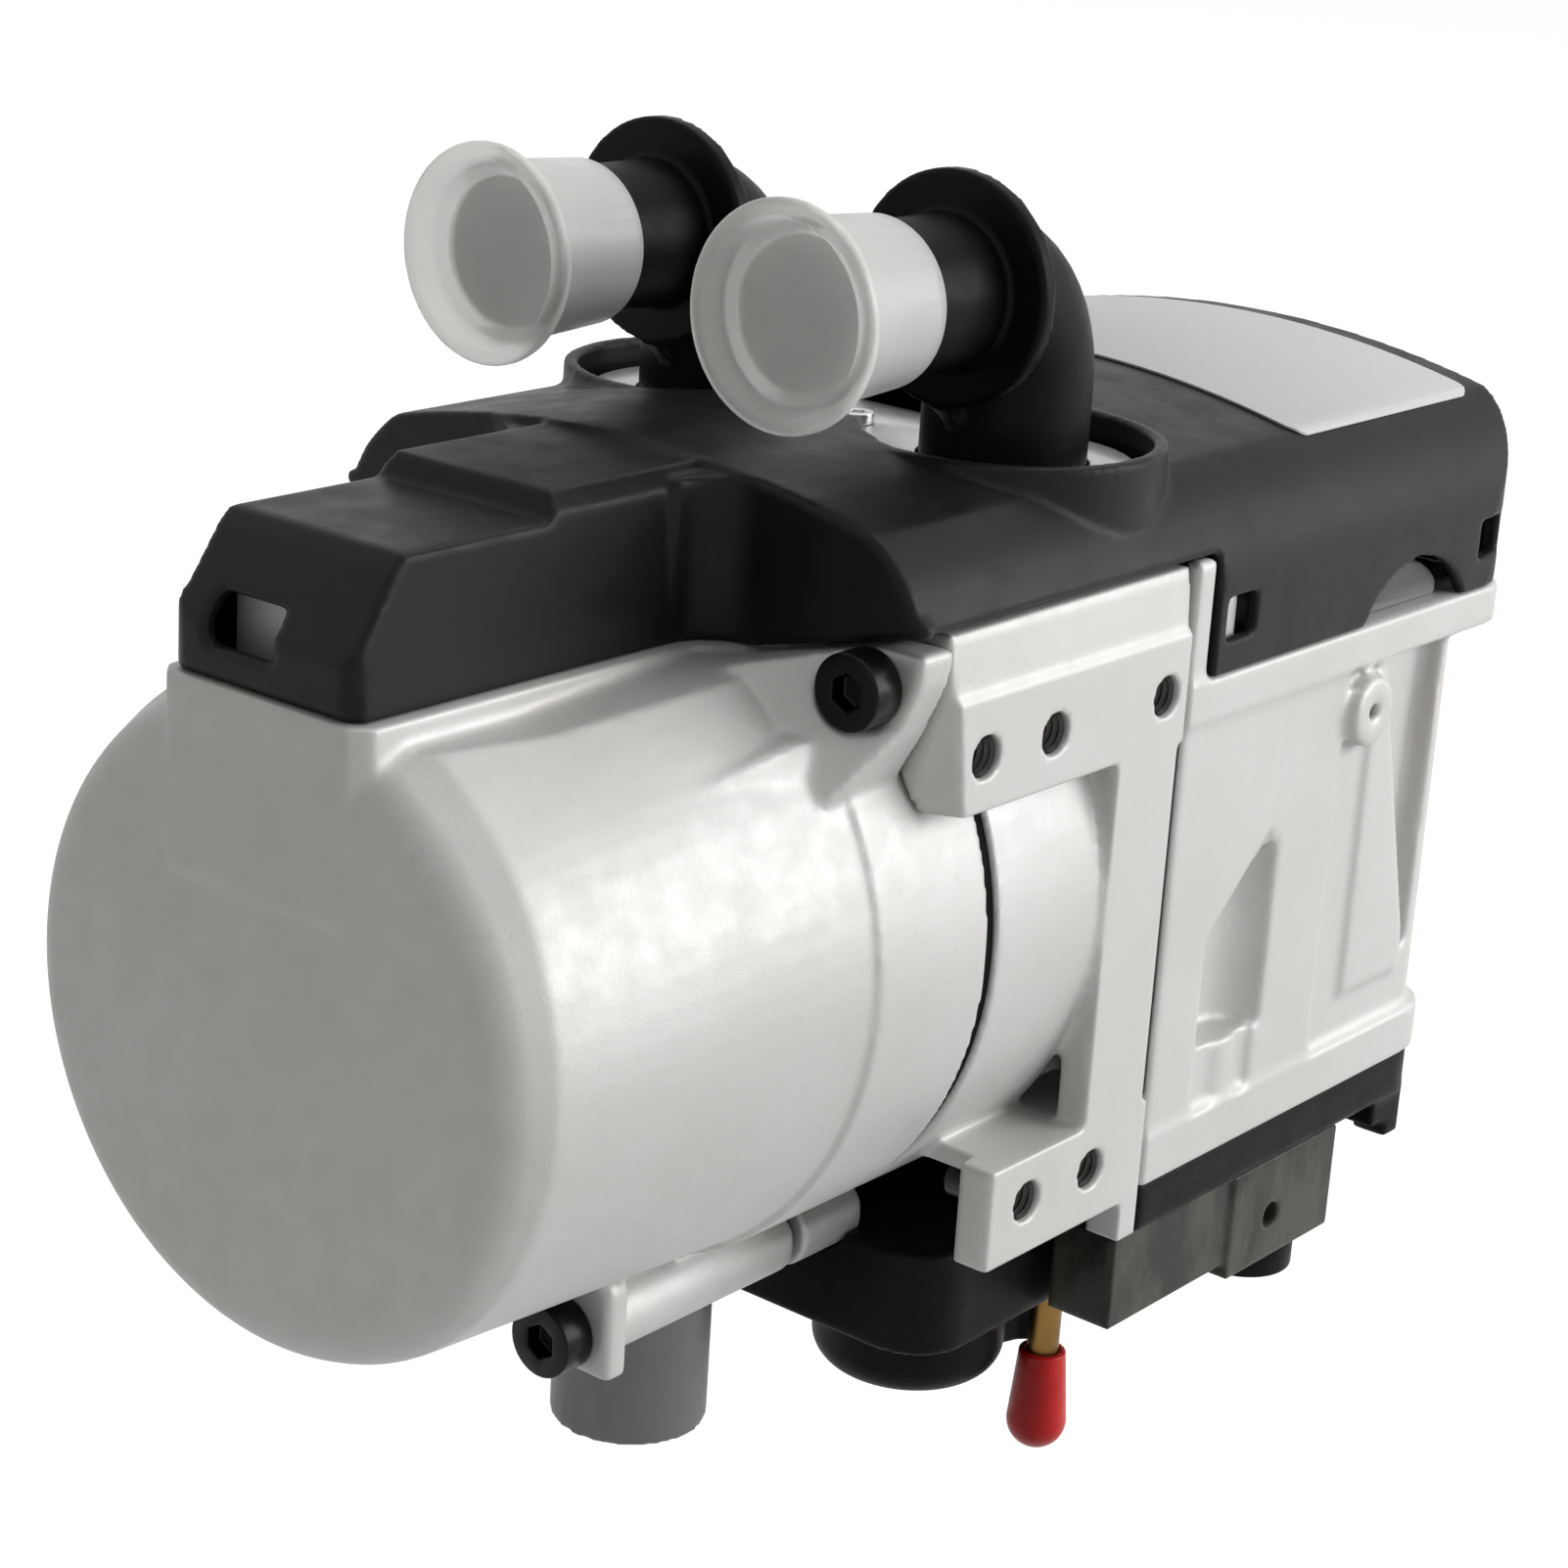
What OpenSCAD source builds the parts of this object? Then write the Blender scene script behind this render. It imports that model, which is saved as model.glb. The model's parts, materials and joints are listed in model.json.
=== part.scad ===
// Hydronic parking heater: a cast water jacket, burner head and blower under a plastic hood.
// X runs from the jacket's closed end to the blower end, -Y is the side with the mounting pad.
// The origin is the middle of the pad's upper row of holes, on the pad's mounting face.
// Sizes marked as places are measured from the seal plane (X) and the jacket's axis (Y, Z).

/* [Body] */
// Width across the castings and the hood
body_w = 100; // [94:1:110]
// From the seal plane to the end of the hood over the blower
blower_l = 131; // [124:1:140]
// Height of the hood's crown above the jacket's axis
hood_h = 62.5; // [60:0.5:66]
// Wall of the hood
hood_wall = 2; // [1.5:0.1:2.6]
// Place where the hood's lower edge steps down
hood_step_x = 46; // [44:0.5:48]
// Height of the hood's lower edge over the burner head
hood_edge_z = 46.2; // [45.5:0.1:47]
// Height of the hood's lower edge over the blower
flange_top_z = 29; // [26:0.5:32]
// Place of the hood's end wall over the jacket
hood_wall_x = -21; // [-23:0.5:-19]

/* [Tongue] */
// Width of the hood's tongue over the jacket
tongue_w = 32; // [28:1:36]
// Height of the tongue's lower edge
tongue_edge_z = 39.5; // [39:0.1:40.5]
// Height of the tongue's top in front of its step
tongue_top_z = 58.3; // [56:0.1:59.5]
// Place of the step in the tongue's top
tongue_step_x = -49.5; // [-54:0.5:-44]
// Width of the window in the tongue's front
window_w = 11.4; // [8:0.2:12]
// Height of the window in the tongue's front
window_h = 6; // [5:0.5:7]

/* [Jacket] */
// From the seal plane to the jacket's closed end
jacket_l = 82.5; // [78:0.5:88]
// How far the barrel lies inside its collar
collar_step = 0.7; // [0.4:0.1:1]
// How much the barrel's radius narrows towards its closed end
jacket_taper = 5.7; // [4.5:0.1:6.5]
// How far the jacket's axis falls towards its closed end
jacket_drop = 3.2; // [2.5:0.1:3.6]
// Radius round the jacket's closed end
jacket_edge_r = 7; // [5:0.5:9]
// Wall of the jacket
jacket_wall = 4; // [3.4:0.1:4.4]
// Length of the collar at the jacket's open end
collar_l = 23.5; // [20:0.5:26]
// How far the collar, the seal and the burner head lie inside the body's sides
collar_in = 0.8; // [0.6:0.1:1.4]
// Height of the flange's top above the axis
lug_h = 44; // [43.6:0.1:44.6]
// Thickness of the flange
lug_t = 6.5; // [5:0.5:8]
// Diameter of the black screw heads
screw_head_d = 10; // [8.5:0.1:10.4]
// Diameter of the screw shanks
screw_d = 5; // [4:0.5:6]

/* [Mounting pad] */
// Distance between the first and the last hole of the pad's upper row
pad_span = 40.5; // [38:0.5:42]
// Distance between the close holes of each row
pad_pitch = 15; // [13:0.5:17]
// Distance between the upper and the lower row
pad_rows = 66.6; // [65:0.2:68]
// Diameter of the mounting holes
pad_hole_d = 5.8; // [5:0.1:6.5]
// Thickness of the mounting pad
pad_t = 8; // [6.5:0.5:9]
// Length of the pad
pad_l = 53.5; // [50:0.5:54]
// Height of the pad's plate
pad_h = 24; // [22:0.5:26]
// Width of the upright bar
bar_w = 14.5; // [12:0.5:16]
// Height of the pad's foot
foot_h = 14.6; // [13:0.2:16]

/* [Water connections] */
// Distance between the two water elbows
elbow_pitch = 50; // [47:0.5:52]
// Place of the elbows along the body
elbow_x = 27.5; // [26:0.5:29]
// Height of the hose stubs above the axis
stub_z = 81.5; // [80:0.5:86]
// Outer diameter of the hose stubs
stub_d = 20; // [18:0.5:21]
// Outer diameter of the elbow's column
column_d = 22.6; // [21:0.2:24]
// Bore of the elbows
elbow_bore = 16; // [13:0.5:16.5]
// Diameter of the stop disc at the bend
disc_d = 31; // [28:0.5:33]
// Length of a hose stub from the disc's face
stub_l = 29; // [26:0.5:31]
// Diameter of the caps' flange
cap_flange_d = 29; // [27:0.5:31]
// Length of the caps
cap_l = 19.5; // [18:0.5:21]
// Outer radius of the hood's collars round the elbows
ring_r = 22; // [21:0.2:23]

/* [Blower] */
// Place of the blower housing's outer end wall
blower_end_x = 124.5; // [120:0.5:127]
// Height of the blower housing's bottom edge, below the axis
blower_bottom = 45.5; // [44.5:0.5:47]
// Height of the black base below the housing's side wall
base_h = 7.6; // [6.5:0.1:9]
// Diameter of the impeller
impeller_d = 66; // [60:1:70]
// Number of impeller blades
blade_n = 18; // [12:1:24]
// Diameter of the motor
motor_d = 37; // [33:0.5:40]
// Length of the motor
motor_l = 36; // [30:1:40]
// Diameter of the motor's shaft
shaft_d = 5; // [4:0.5:6]

/* [Underside] */
// Outer diameter of the exhaust stub
exhaust_d = 22; // [20:0.5:24]
// How far the exhaust stub hangs below the axis
exhaust_drop = 78; // [74:0.5:82]
// Outer diameter of the air intake's bowl
intake_d = 29; // [26:0.5:31]
// How far the air intake hangs below the axis
intake_drop = 85; // [82:0.5:88]
// Outer diameter of the fuel nipple
nipple_d = 4.8; // [4:0.1:5.4]
// Length of the red fuel cap
fuel_cap_l = 16; // [14:0.5:18]

/* [Hidden] */
$fn = 64;
// Facets of the wide crown circles
fine = 360;
// Overrun of every cut past the face that it leaves
cut = 1;
// Gap between pieces of different bodies
gap = 0.3;
// Radial clearance of a running fit
running = 0.06;
// Radial clearance round a screw shank
screw_gap = 0.25;

// Places of the pad and its holes
pad_left_x = -13.6;
pad_top_z = 45.3;
pad_first_x = -5.9;
pad_row_z = 28.5;
pad_low_first_x = 11.8;
foot_left_x = 3;
foot_top_z = -31.4;
side_y = body_w / 2;
collar_r = side_y - collar_in;
jacket_r = collar_r - collar_step;
jacket_end_r = jacket_r - jacket_taper;
pad_right_x = pad_left_x + pad_l;
pad_low_z = pad_row_z - pad_rows;
bar_clear = 1.1;
bar_left_x = pad_right_x - bar_clear - bar_w;
housing_left_x = pad_right_x + 1.5 * gap;
pad_back_y = pad_t - side_y;
band_h = 8.8;
band_step = 0.7;
slot_w = 1.1;
bar_t = 5;
slant_x = 3.6;
slant_y = 7;
foot_t = 5.5;
foot_shelf_t = 3;
leg_w = 4.6;
leg_drop = 6;

// Jacket
tilt = atan(jacket_drop / (jacket_l - collar_l));
barrel_l = (jacket_l - collar_l) / cos(tilt);
seal_t = 2;
rim_angle = 20;
rim_slope = 25;
saddle_proud = 0.7;
saddle_front_x = -jacket_l - saddle_proud;
saddle_margin = 1.6;
saddle_side_y = tongue_w / 2 + saddle_margin;
saddle_chamfer = 2.5;
ledge_drop = 3.4;
ledge_rise = 3;
ledge_bend_in = 24.5;
ledge_bend_x = ledge_bend_in - jacket_l;
roof_t = 9;
flare_w = 5.3;
lug_back_x = pad_left_x - gap;
lug_front_x = lug_back_x - lug_t;
lug_screw_r = collar_r + 7.9;
lug_angle = 42.8;
lug_y = lug_screw_r * cos(lug_angle);
lug_z = lug_screw_r * sin(lug_angle);
lug_reach = 7.8;
lug_shoulder = 1.2;
lug_waist = [4.2, 6.3];
lug_foot = [0.8, 15.3];
lug_root_drop = 0.8;
web_l = 8.6;
web_r = jacket_r - 1;
web_end_r = lug_screw_r;
rib_tip = [-46.5, -35.3, 28.7];
rib_run = [21.5, -3.4, 4.4];
rib_overrun = 3;
rib_l = 28;
rib_in = [6, 1.5];
rib_out = [2, 7.5];
low_screw_r = collar_r + 3.9;
low_screw_angle = 17.5;
low_screw_y = -low_screw_r * sin(low_screw_angle);
low_screw_z = -low_screw_r * cos(low_screw_angle);
low_boss_r = 5.2;
low_plate_x = -42;
low_plate_t = 4;
low_plate_w = 15;
head_h = 5;
socket_d = 5;
socket_depth = 2.5;
water_gap = 4.8;
cup_r = jacket_end_r - jacket_wall - water_gap;
cup_wall = 2.5;
cup_flange_r = collar_r - jacket_wall - 3 * gap;
cup_flange_t = 3;
cup_end_gap = 14.5;
cup_l = jacket_l - cup_end_gap;
fin_n = 24;
fin_t = 1.6;
fin_h = 6;
tube_gap = 5.5;
tube_r = cup_r - cup_wall - fin_h - tube_gap;
tube_wall = 1.5;
tube_end_gap = 12;
tube_l = cup_l - tube_end_gap;
tube_flange_r = cup_r + 2;
tube_flange_t = 2;

// Blower
housing_wall = 3;
corner_r = 11;
flange_t = 6.5;
flange_corner_r = 7;
rim_h = 8;
chamber_gap = 4;
chamber_r = impeller_d / 2 + chamber_gap;
impeller_in = 9.1;
impeller_x = pad_right_x + impeller_in;
impeller_t = 12;
bulkhead_gap = 9;
bulkhead_x = impeller_x + impeller_t + bulkhead_gap;
hub_r = 9;
back_t = 1.6;
blade_t = 1.4;
motor_x = bulkhead_x + housing_wall;
shaft_x = impeller_x - 3;
shaft_l = motor_x + motor_l - shaft_x;
bearing_t = 5;
bearing_d = 12;

// Elbows and caps
elbow_y = elbow_pitch / 2;
port_z = 53;
port_r = 12.8;
port_top_t = 2.6;
plate_t = 2;
plate_z = port_z + port_top_t;
bend_gap = 2.2;
bend_r = column_d / 2 + bend_gap;
disc_t = 2.6;
disc_x = 15.3;
spigot_d = 21;
spigot_l = 9;
seal_d = 2;
cap_wall = 1;
cap_taper = 1;
cap_recess = 3.2;
cap_rim_t = 2.2;
cap_floor_t = 1.2;
ring_wall = 2;
ring_drop = 1.3;
ring_z = hood_h - ring_drop;

// Remaining places and sizes, each with the piece that carries it
barrel_start = 4;
roof_back_x = hood_wall_x + hood_wall + gap;
saddle_low_z = 15;
exhaust_x = 13.2;
exhaust_y = -2.7;
exhaust_wall = 1.8;
exhaust_step = 0.6;
exhaust_boss_h = 8;
exhaust_boss_t = 1;
latch_t = 1.6;
tab_in = 6.2;
tab_x = tab_in - jacket_l;
window_y = 3.8;
window_low_z = 43.7;
window_top_z = window_low_z + window_h;
seal_inset = 0.8;
plug_r = 3;
plug_side_gap = 2.5;
plug_z = tube_r - tube_wall - plug_side_gap - plug_r;
plug_reach = 18;
plug_hold = 8;
burner_wall_in = 13.9;
burner_bore_end = pad_right_x - burner_wall_in;
plug_wall = 1;
air_hole_r = plug_z - plug_r - plug_wall;
shelf_in = 16;
shelf_back_y = side_y - shelf_in;
ring_end_x = 25;
ring_step = 4;
pad_low_edge = pad_top_z - pad_h;
pad_hole_depth = pad_t + pad_t / 2;
tower_r = 18;
low_boss_end_x = 14;
screw_hold = 9;
port_depth = spigot_l + 1;
retaining_screw_d = 3.2;
retaining_screw_l = 9;
retaining_head_r = 2.5;
ear_x = 15.4;
bridge_w = 26;
sensor_in = 20.5;
sensor_x = sensor_in - jacket_l;
sensor_r = 6;
sensor_hex_h = 4;
sensor_h = 8;
wall_in = 1.4;
panel_out = 0.3;
panel_a_x = 66;
panel_gap = 1.2;
panel_b_end_x = 84;
panel_c_x = 92.5;
panel_c_z = -30;
panel_c_w = 17;
channel_x = 60.6;
channel_r = 8.5;
channel_out = 2;
channel_low_z = -28;
channel_top_z = 2;
channel_fall = 13;
screw_tower_r = 7;
screw_tower_in = 0.4;
taper_x = 95;
taper_end_x = 114;
taper_low_x = 111.5;
taper_low_z = -27;
taper_depth = 5;
boss_x = 89;
boss_z = 15.9;
boss_r = 5.3;
boss_hole_r = 1.3;
boss_hole_depth = 5;
boss_out = 1.8;
latch_places = [[49, 0.3], [119.6, 1.9]];
latch_w = 5.4;
latch_low_z = 33.8;
latch_top_z = 39.8;
window_gap = 1;
post_r = 3.5;
post_pin_r = 1.6;
post_hold = 3;
board_x = 50;
board_l = 66;
board_in = 12;
board_y = side_y - board_in;
board_z = 38;
board_t = 1.6;
chip_h = 9;
board_edge = 5;
post_places = [for (x = [board_x + board_edge, board_x + board_l - board_edge],
                    y = [board_edge - board_y, board_y - board_edge]) [x, y]];
chip_shares = [[0.15, 0.2, 0.2, 0.15, 0.4], [0.5, 0.15, 0.3, 0.25, 1], [0.2, 0.55, 0.35, 0.3, 0.3],
               [0.65, 0.6, 0.18, 0.2, 0.8]];
base_left_x = 41.5;
base_in = 0.8;
hump_left_x = 10;
hump_right_x = 66;
hump_in = 13.5;
hump_y = side_y - hump_in;
hump_r = 9;
hump_bottom = 68;
hook_x = 110;
hook_l = 9;
hook_t = 3;
hook_w = 6;
hook_in = 8;
hook_y = hook_in - side_y;
hook_low = 61;
nipple_x = 48;
nipple_hold = 8;
nipple_drop = 92;
fuel_cap_z = 80.3;
fuel_cap_r = 4.5;
fuel_cap_top_r = 3.5;
intake_x = 38.4;
intake_wall = 2.5;
intake_hold = 5;
intake_edge_r = 5;
intake_bore = 20;
lobe_x = 20;
lobe_y = -6;
lobe_r = 6.5;
lobe_neck = 5.5;
lobe_up = 1;
intake_bore_l = 13;
plug_a_x = 38;
plug_b_x = 70;
plug_end_x = 98;
plug_in = 2;
plug_front_y = plug_in - side_y;
plug_depth = 10.5;
nipple_gap = 6.5;
nipple_y = plug_front_y + plug_depth + nipple_gap;
intake_in = 18;
intake_y = nipple_y + intake_in;
plug_step = 0.6;
plug_a_low = 67.5;
plug_b_low = 70;
keyhole_x = 80.6;
keyhole_z = -63;
keyhole_r = 2;
keyhole_depth = 5;
socket_x = 89;
socket_in = 9;
socket_y = plug_front_y + socket_in;
socket_r = 8;
socket_low = 76;
socket_wall = 1.6;
socket_deep = 5;
crown_r = 170;
shoulder_r = 19.5;
shoulder_lift = 1.12293;
shoulder_z = hood_h - crown_r + sqrt((crown_r - shoulder_r) ^ 2 - (side_y - shoulder_r) ^ 2)
             + shoulder_lift;
wall_clear = 0.8;
hood_end_r = 9;
tongue_chin_z = 46.5;
tongue_brow_in = 6.9;
tongue_brow_x = tongue_brow_in - jacket_l;
tongue_brow_h = 2;
tongue_draft = 1.2;
tongue_flare_z = 60.6;
tongue_front_x = saddle_front_x + 1;
tongue_corner = 2.2;
tongue_high_z = 61.6;
tongue_flare_r = 7;
collar_low_z = collar_r + gap;
arch_x = 100.5;
arch_r = 17;
arch_h = 8;
label_x = 75;
label_end_x = 125;
label_in = 8;
label_y = side_y - label_in;
label_t = 0.4;
label_gap = 0.05;
label_r = 3;
grommet_in = 3;
grommet_t = 7;
grommet_w = 22;
blade_r = 26;
gusset_t = 2.6;
seal_depth = 2.4;
cap_reach = 5;

// Moves the seal frame, with its origin on the jacket's axis, to the part's own origin
module from_seal() {
    translate([-pad_first_x - pad_span / 2, side_y, -pad_row_z]) children();
}

// Box between two opposite corners
module block(low, high) {
    translate(low) cube(high - low);
}

// Round bar along X from x0 to x1
module x_bar(r, x0, x1) {
    translate([x0, 0, 0]) rotate([0, 90, 0]) cylinder(r = r, h = x1 - x0);
}

// Outline in Y and Z, drawn out along X
module along_x(x0, x1) {
    translate([x0, 0, 0]) rotate([90, 0, 90]) linear_extrude(x1 - x0) children();
}

// Outline in X and Z, drawn out along Y
module along_y(y0, y1) {
    translate([0, y1, 0]) rotate([90, 0, 0]) linear_extrude(y1 - y0) children();
}

// Rectangle with round corners between two opposite corners
module round_rect(low, high, r) {
    translate([low[0] + r, low[1]]) square([high[0] - low[0] - 2 * r, high[1] - low[1]]);
    translate([low[0], low[1] + r]) square([high[0] - low[0], high[1] - low[1] - 2 * r]);
    for (x = [low[0] + r, high[0] - r], y = [low[1] + r, high[1] - r])
        translate([x, y]) circle(r);
}

// Both sides of the body
module both_sides() {
    children();
    mirror([0, 1, 0]) children();
}

// Water jacket: a cast cup with a sloping barrel, a collar and a screw flange
module barrel(inset) {
    taper = (jacket_r - jacket_end_r) / barrel_l;
    intersection() {
        translate([-collar_l, 0, 0]) rotate([0, -90 - tilt, 0])
            translate([0, 0, -barrel_start])
            cylinder(r1 = jacket_r - inset + taper * barrel_start,
                     r2 = jacket_end_r - inset - taper * barrel_start,
                     h = barrel_l + 2 * barrel_start);
        translate([inset - jacket_l, 0, -jacket_drop]) rotate([0, 90, 0])
            rotate_extrude() rim_profile(jacket_end_r - inset, jacket_edge_r - inset / 2);
    }
}

// Round rim of the closed end, which runs out past the cone
module rim_profile(r, edge) {
    rim = [r - edge + edge * cos(rim_angle), edge - edge * sin(rim_angle)];
    back = rim[1] + (2 * r - rim[0]) / tan(rim_slope);
    polygon([[0, 0], [r - edge, 0], rim, [2 * r, back], [0, back]]);
    intersection() {
        translate([r - edge, edge]) circle(edge);
        square([rim[0], rim[1]]);
    }
}

// Barrel with a flat seat for the tongue and a ledge on either side of it
module barrel_below_tongue() {
    low_z = tongue_edge_z - ledge_drop;
    difference() {
        barrel(0);
        block([-jacket_l - collar_l, -body_w, tongue_edge_z], [collar_l, body_w, body_w]);
        both_sides() along_y(saddle_side_y - cut, body_w)
            polygon([[-jacket_l - collar_l, low_z], [ledge_bend_x, low_z],
                     [lug_front_x, low_z + ledge_rise], [lug_front_x, body_w],
                     [-jacket_l - collar_l, body_w]]);
    }
}

module saddle_plan() {
    polygon([[saddle_front_x, saddle_chamfer - saddle_side_y],
             [saddle_front_x + saddle_chamfer, -saddle_side_y],
             [lug_front_x - flare_w, -saddle_side_y],
             [lug_front_x, -saddle_side_y - flare_w],
             [roof_back_x, -saddle_side_y - flare_w],
             [roof_back_x, saddle_side_y + flare_w],
             [lug_front_x, saddle_side_y + flare_w],
             [lug_front_x - flare_w, saddle_side_y],
             [saddle_front_x + saddle_chamfer, saddle_side_y],
             [saddle_front_x, saddle_side_y - saddle_chamfer]]);
}

// Top of the flange from the saddle out to the lug, with a clearance above it
module flange_top(clear, top) {
    polygon([[0, tongue_edge_z], [saddle_side_y, tongue_edge_z],
             [saddle_side_y + flare_w, tongue_edge_z - lug_root_drop + clear],
             [lug_y + lug_shoulder, lug_h + clear], [side_y, hood_edge_z],
             [side_y, top], [0, top]]);
}

module lug_outline() {
    polygon([[saddle_side_y, tongue_edge_z - lug_root_drop - roof_t / 2],
             [saddle_side_y + flare_w, tongue_edge_z - lug_root_drop],
             [lug_y + lug_shoulder, lug_h], [lug_y + lug_reach, lug_h],
             [lug_y + lug_reach - lug_shoulder / 3, lug_z + lug_shoulder],
             [lug_y + lug_waist[0], lug_z - lug_waist[1]],
             [lug_y - lug_foot[0], lug_z - lug_foot[1]],
             [saddle_side_y, lug_z - lug_foot[1]]]);
}

// Sloping web in front of a lug, and the rib that runs up to it
module lug_web() {
    intersection() {
        translate([lug_front_x - web_l, 0, 0]) rotate([0, 90, 0])
            cylinder(r1 = web_r, r2 = web_end_r, h = web_l);
        along_x(lug_front_x - web_l, lug_front_x) lug_outline();
    }
}

module rib() {
    level = norm([rib_run[0], rib_run[1]]);
    translate(rib_tip)
        rotate([0, -atan(rib_run[2] / level), atan2(rib_run[1], rib_run[0])])
        along_x(-rib_overrun, rib_l)
        polygon([[0, 0], rib_in, [-rib_out[0], -rib_out[1]]]);
}

module screw_places() {
    for (s = [-1, 1]) translate([0, s * lug_y, lug_z]) children();
    translate([0, low_screw_y, low_screw_z]) children();
}

module jacket_body() {
    barrel_below_tongue();
    difference() {
        x_bar(collar_r, -collar_l, -seal_t / 2);
        both_sides() along_x(-collar_l - cut, roof_back_x) flange_top(0, body_w);
    }
    translate([0, 0, tongue_edge_z - roof_t]) linear_extrude(roof_t) saddle_plan();
    translate([0, 0, saddle_low_z]) linear_extrude(tongue_edge_z - saddle_low_z)
        intersection() {
            saddle_plan();
            translate([saddle_front_x, -body_w]) square([jacket_edge_r + jacket_wall, 2 * body_w]);
        }
    both_sides() along_x(lug_front_x, lug_back_x) lug_outline();
    both_sides() lug_web();
    both_sides() rib();
    translate([0, low_screw_y, low_screw_z]) x_bar(low_boss_r, low_plate_x, -seal_t / 2);
    block([low_plate_x, low_screw_y - low_plate_w / 2, low_screw_z - low_boss_r],
          [low_plate_x + low_plate_t, low_screw_y + low_plate_w / 2, -jacket_end_r]);
    translate([-exhaust_x, exhaust_y, -collar_r - exhaust_boss_h])
        cylinder(d = exhaust_d + 2 * exhaust_boss_t, h = exhaust_boss_h + jacket_wall);
    block([tab_x, window_y - window_w / 2 - latch_t, tongue_edge_z - cut],
          [tab_x + latch_t, window_y + window_w / 2 + latch_t, window_top_z + gap]);
}

module jacket_cavity() {
    intersection() {
        union() {
            barrel(jacket_wall);
            x_bar(collar_r - jacket_wall, -collar_l, cut);
        }
        union() {
            block([-jacket_l, -body_w, -body_w],
                  [cut, body_w, tongue_edge_z - ledge_drop - jacket_wall]);
            block([-jacket_l, jacket_wall - saddle_side_y, -body_w],
                  [cut, saddle_side_y - jacket_wall, tongue_edge_z - jacket_wall]);
            block([roof_back_x + jacket_wall, -body_w, 0], [cut, body_w, body_w]);
        }
    }
}

module water_jacket() color("silver") from_seal() difference() {
    jacket_body();
    jacket_cavity();
    screw_places() x_bar(screw_d / 2 + screw_gap, low_plate_x - head_h, cut);
    for (s = [-1, 1]) translate([0, s * lug_y, lug_z])
        x_bar(screw_head_d / 2 + gap, lug_front_x - 2 * web_l, lug_front_x);
    translate([-exhaust_x, exhaust_y, -exhaust_drop])
        cylinder(d = exhaust_d - 2 * exhaust_step, h = exhaust_drop);
}

// Rubber ring between the jacket and the burner head
module jacket_seal() color("black") from_seal() difference() {
    x_bar(collar_r - seal_inset, -seal_t / 2, seal_t / 2);
    x_bar(collar_r - jacket_wall + seal_inset, -seal_t, seal_t);
}

// Finned cup that carries the hot gas inside the water jacket
module heat_exchanger() color("darkgray") from_seal() {
    difference() {
        union() {
            x_bar(cup_r, -cup_l, seal_t / 2);
            x_bar(cup_flange_r, seal_t / 2 - cup_flange_t, seal_t / 2);
        }
        x_bar(cup_r - cup_wall, cup_wall - cup_l, seal_t);
        translate([-exhaust_x, exhaust_y, -cup_r - cut])
            cylinder(d = exhaust_d - 2 * exhaust_wall, h = cup_r);
    }
    for (i = [0:fin_n - 1]) rotate([(i + 0.5) * 360 / fin_n, 0, 0])
        block([-cup_l + cup_wall / 2, -fin_t / 2, cup_r - cup_wall - fin_h],
              [-exhaust_x - exhaust_d / 2, fin_t / 2, cup_r - cup_wall / 2]);
}

// Steel tube in which the fuel burns
module combustion_tube() color("slategray") from_seal() difference() {
    union() {
        x_bar(tube_r, -tube_l, seal_t / 2 + tube_flange_t);
        x_bar(tube_flange_r, seal_t / 2, seal_t / 2 + tube_flange_t);
    }
    x_bar(tube_r - tube_wall, -tube_l - cut, seal_t / 2 + tube_flange_t + cut);
}

// Glow plug, held in the burner head's wall
module glow_plug() color("dimgray") from_seal() translate([0, 0, plug_z]) {
    x_bar(plug_r, -plug_reach, burner_bore_end);
    x_bar(plug_r - plug_r / 4, burner_bore_end - cut, burner_bore_end + plug_hold);
}

// Burner head with the mounting pad, its bar and its foot
module pad_outline() {
    polygon([[-side_y, pad_low_edge], [-side_y, pad_top_z - band_h],
             [band_step - side_y, pad_top_z - band_h + band_step],
             [2 * band_step - side_y, pad_top_z], [pad_back_y, pad_top_z],
             [pad_back_y, pad_low_edge]]);
}

module pad_holes() {
    for (x = [pad_first_x, pad_first_x + pad_pitch, pad_first_x + pad_span])
        translate([x, 0, pad_row_z]) children();
    for (x = [pad_low_first_x, pad_low_first_x + pad_pitch])
        translate([x, 0, pad_low_z]) children();
}

module mounting_face() {
    along_x(pad_left_x, pad_right_x) pad_outline();
    block([bar_left_x, -side_y, foot_top_z - foot_shelf_t],
          [pad_right_x - bar_clear, bar_t - side_y, pad_low_edge + cut]);
    block([foot_left_x, -side_y, foot_top_z - foot_h],
          [pad_right_x, foot_t - side_y, foot_top_z]);
    block([pad_right_x - leg_w, -side_y, foot_top_z - foot_h - leg_drop],
          [pad_right_x, foot_t - side_y, foot_top_z - foot_h + cut]);
    block([foot_left_x + foot_shelf_t, bar_t - side_y - cut, foot_top_z - foot_shelf_t],
          [pad_right_x, -shelf_back_y, foot_top_z]);
}

// Face that slants across the pad's free end and widens downwards
module pad_slant() {
    run = norm([slant_x, slant_y]);
    translate([pad_left_x, -side_y, pad_top_z])
        rotate([0, -atan(slant_x * slant_y / (pad_h * run)), atan2(slant_x, slant_y)])
        block([-pad_l, -pad_l, -pad_rows], [0, pad_l, pad_rows]);
}

module elbow_places() {
    for (s = [-1, 1]) translate([elbow_x, s * elbow_y, 0]) children();
}

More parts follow.
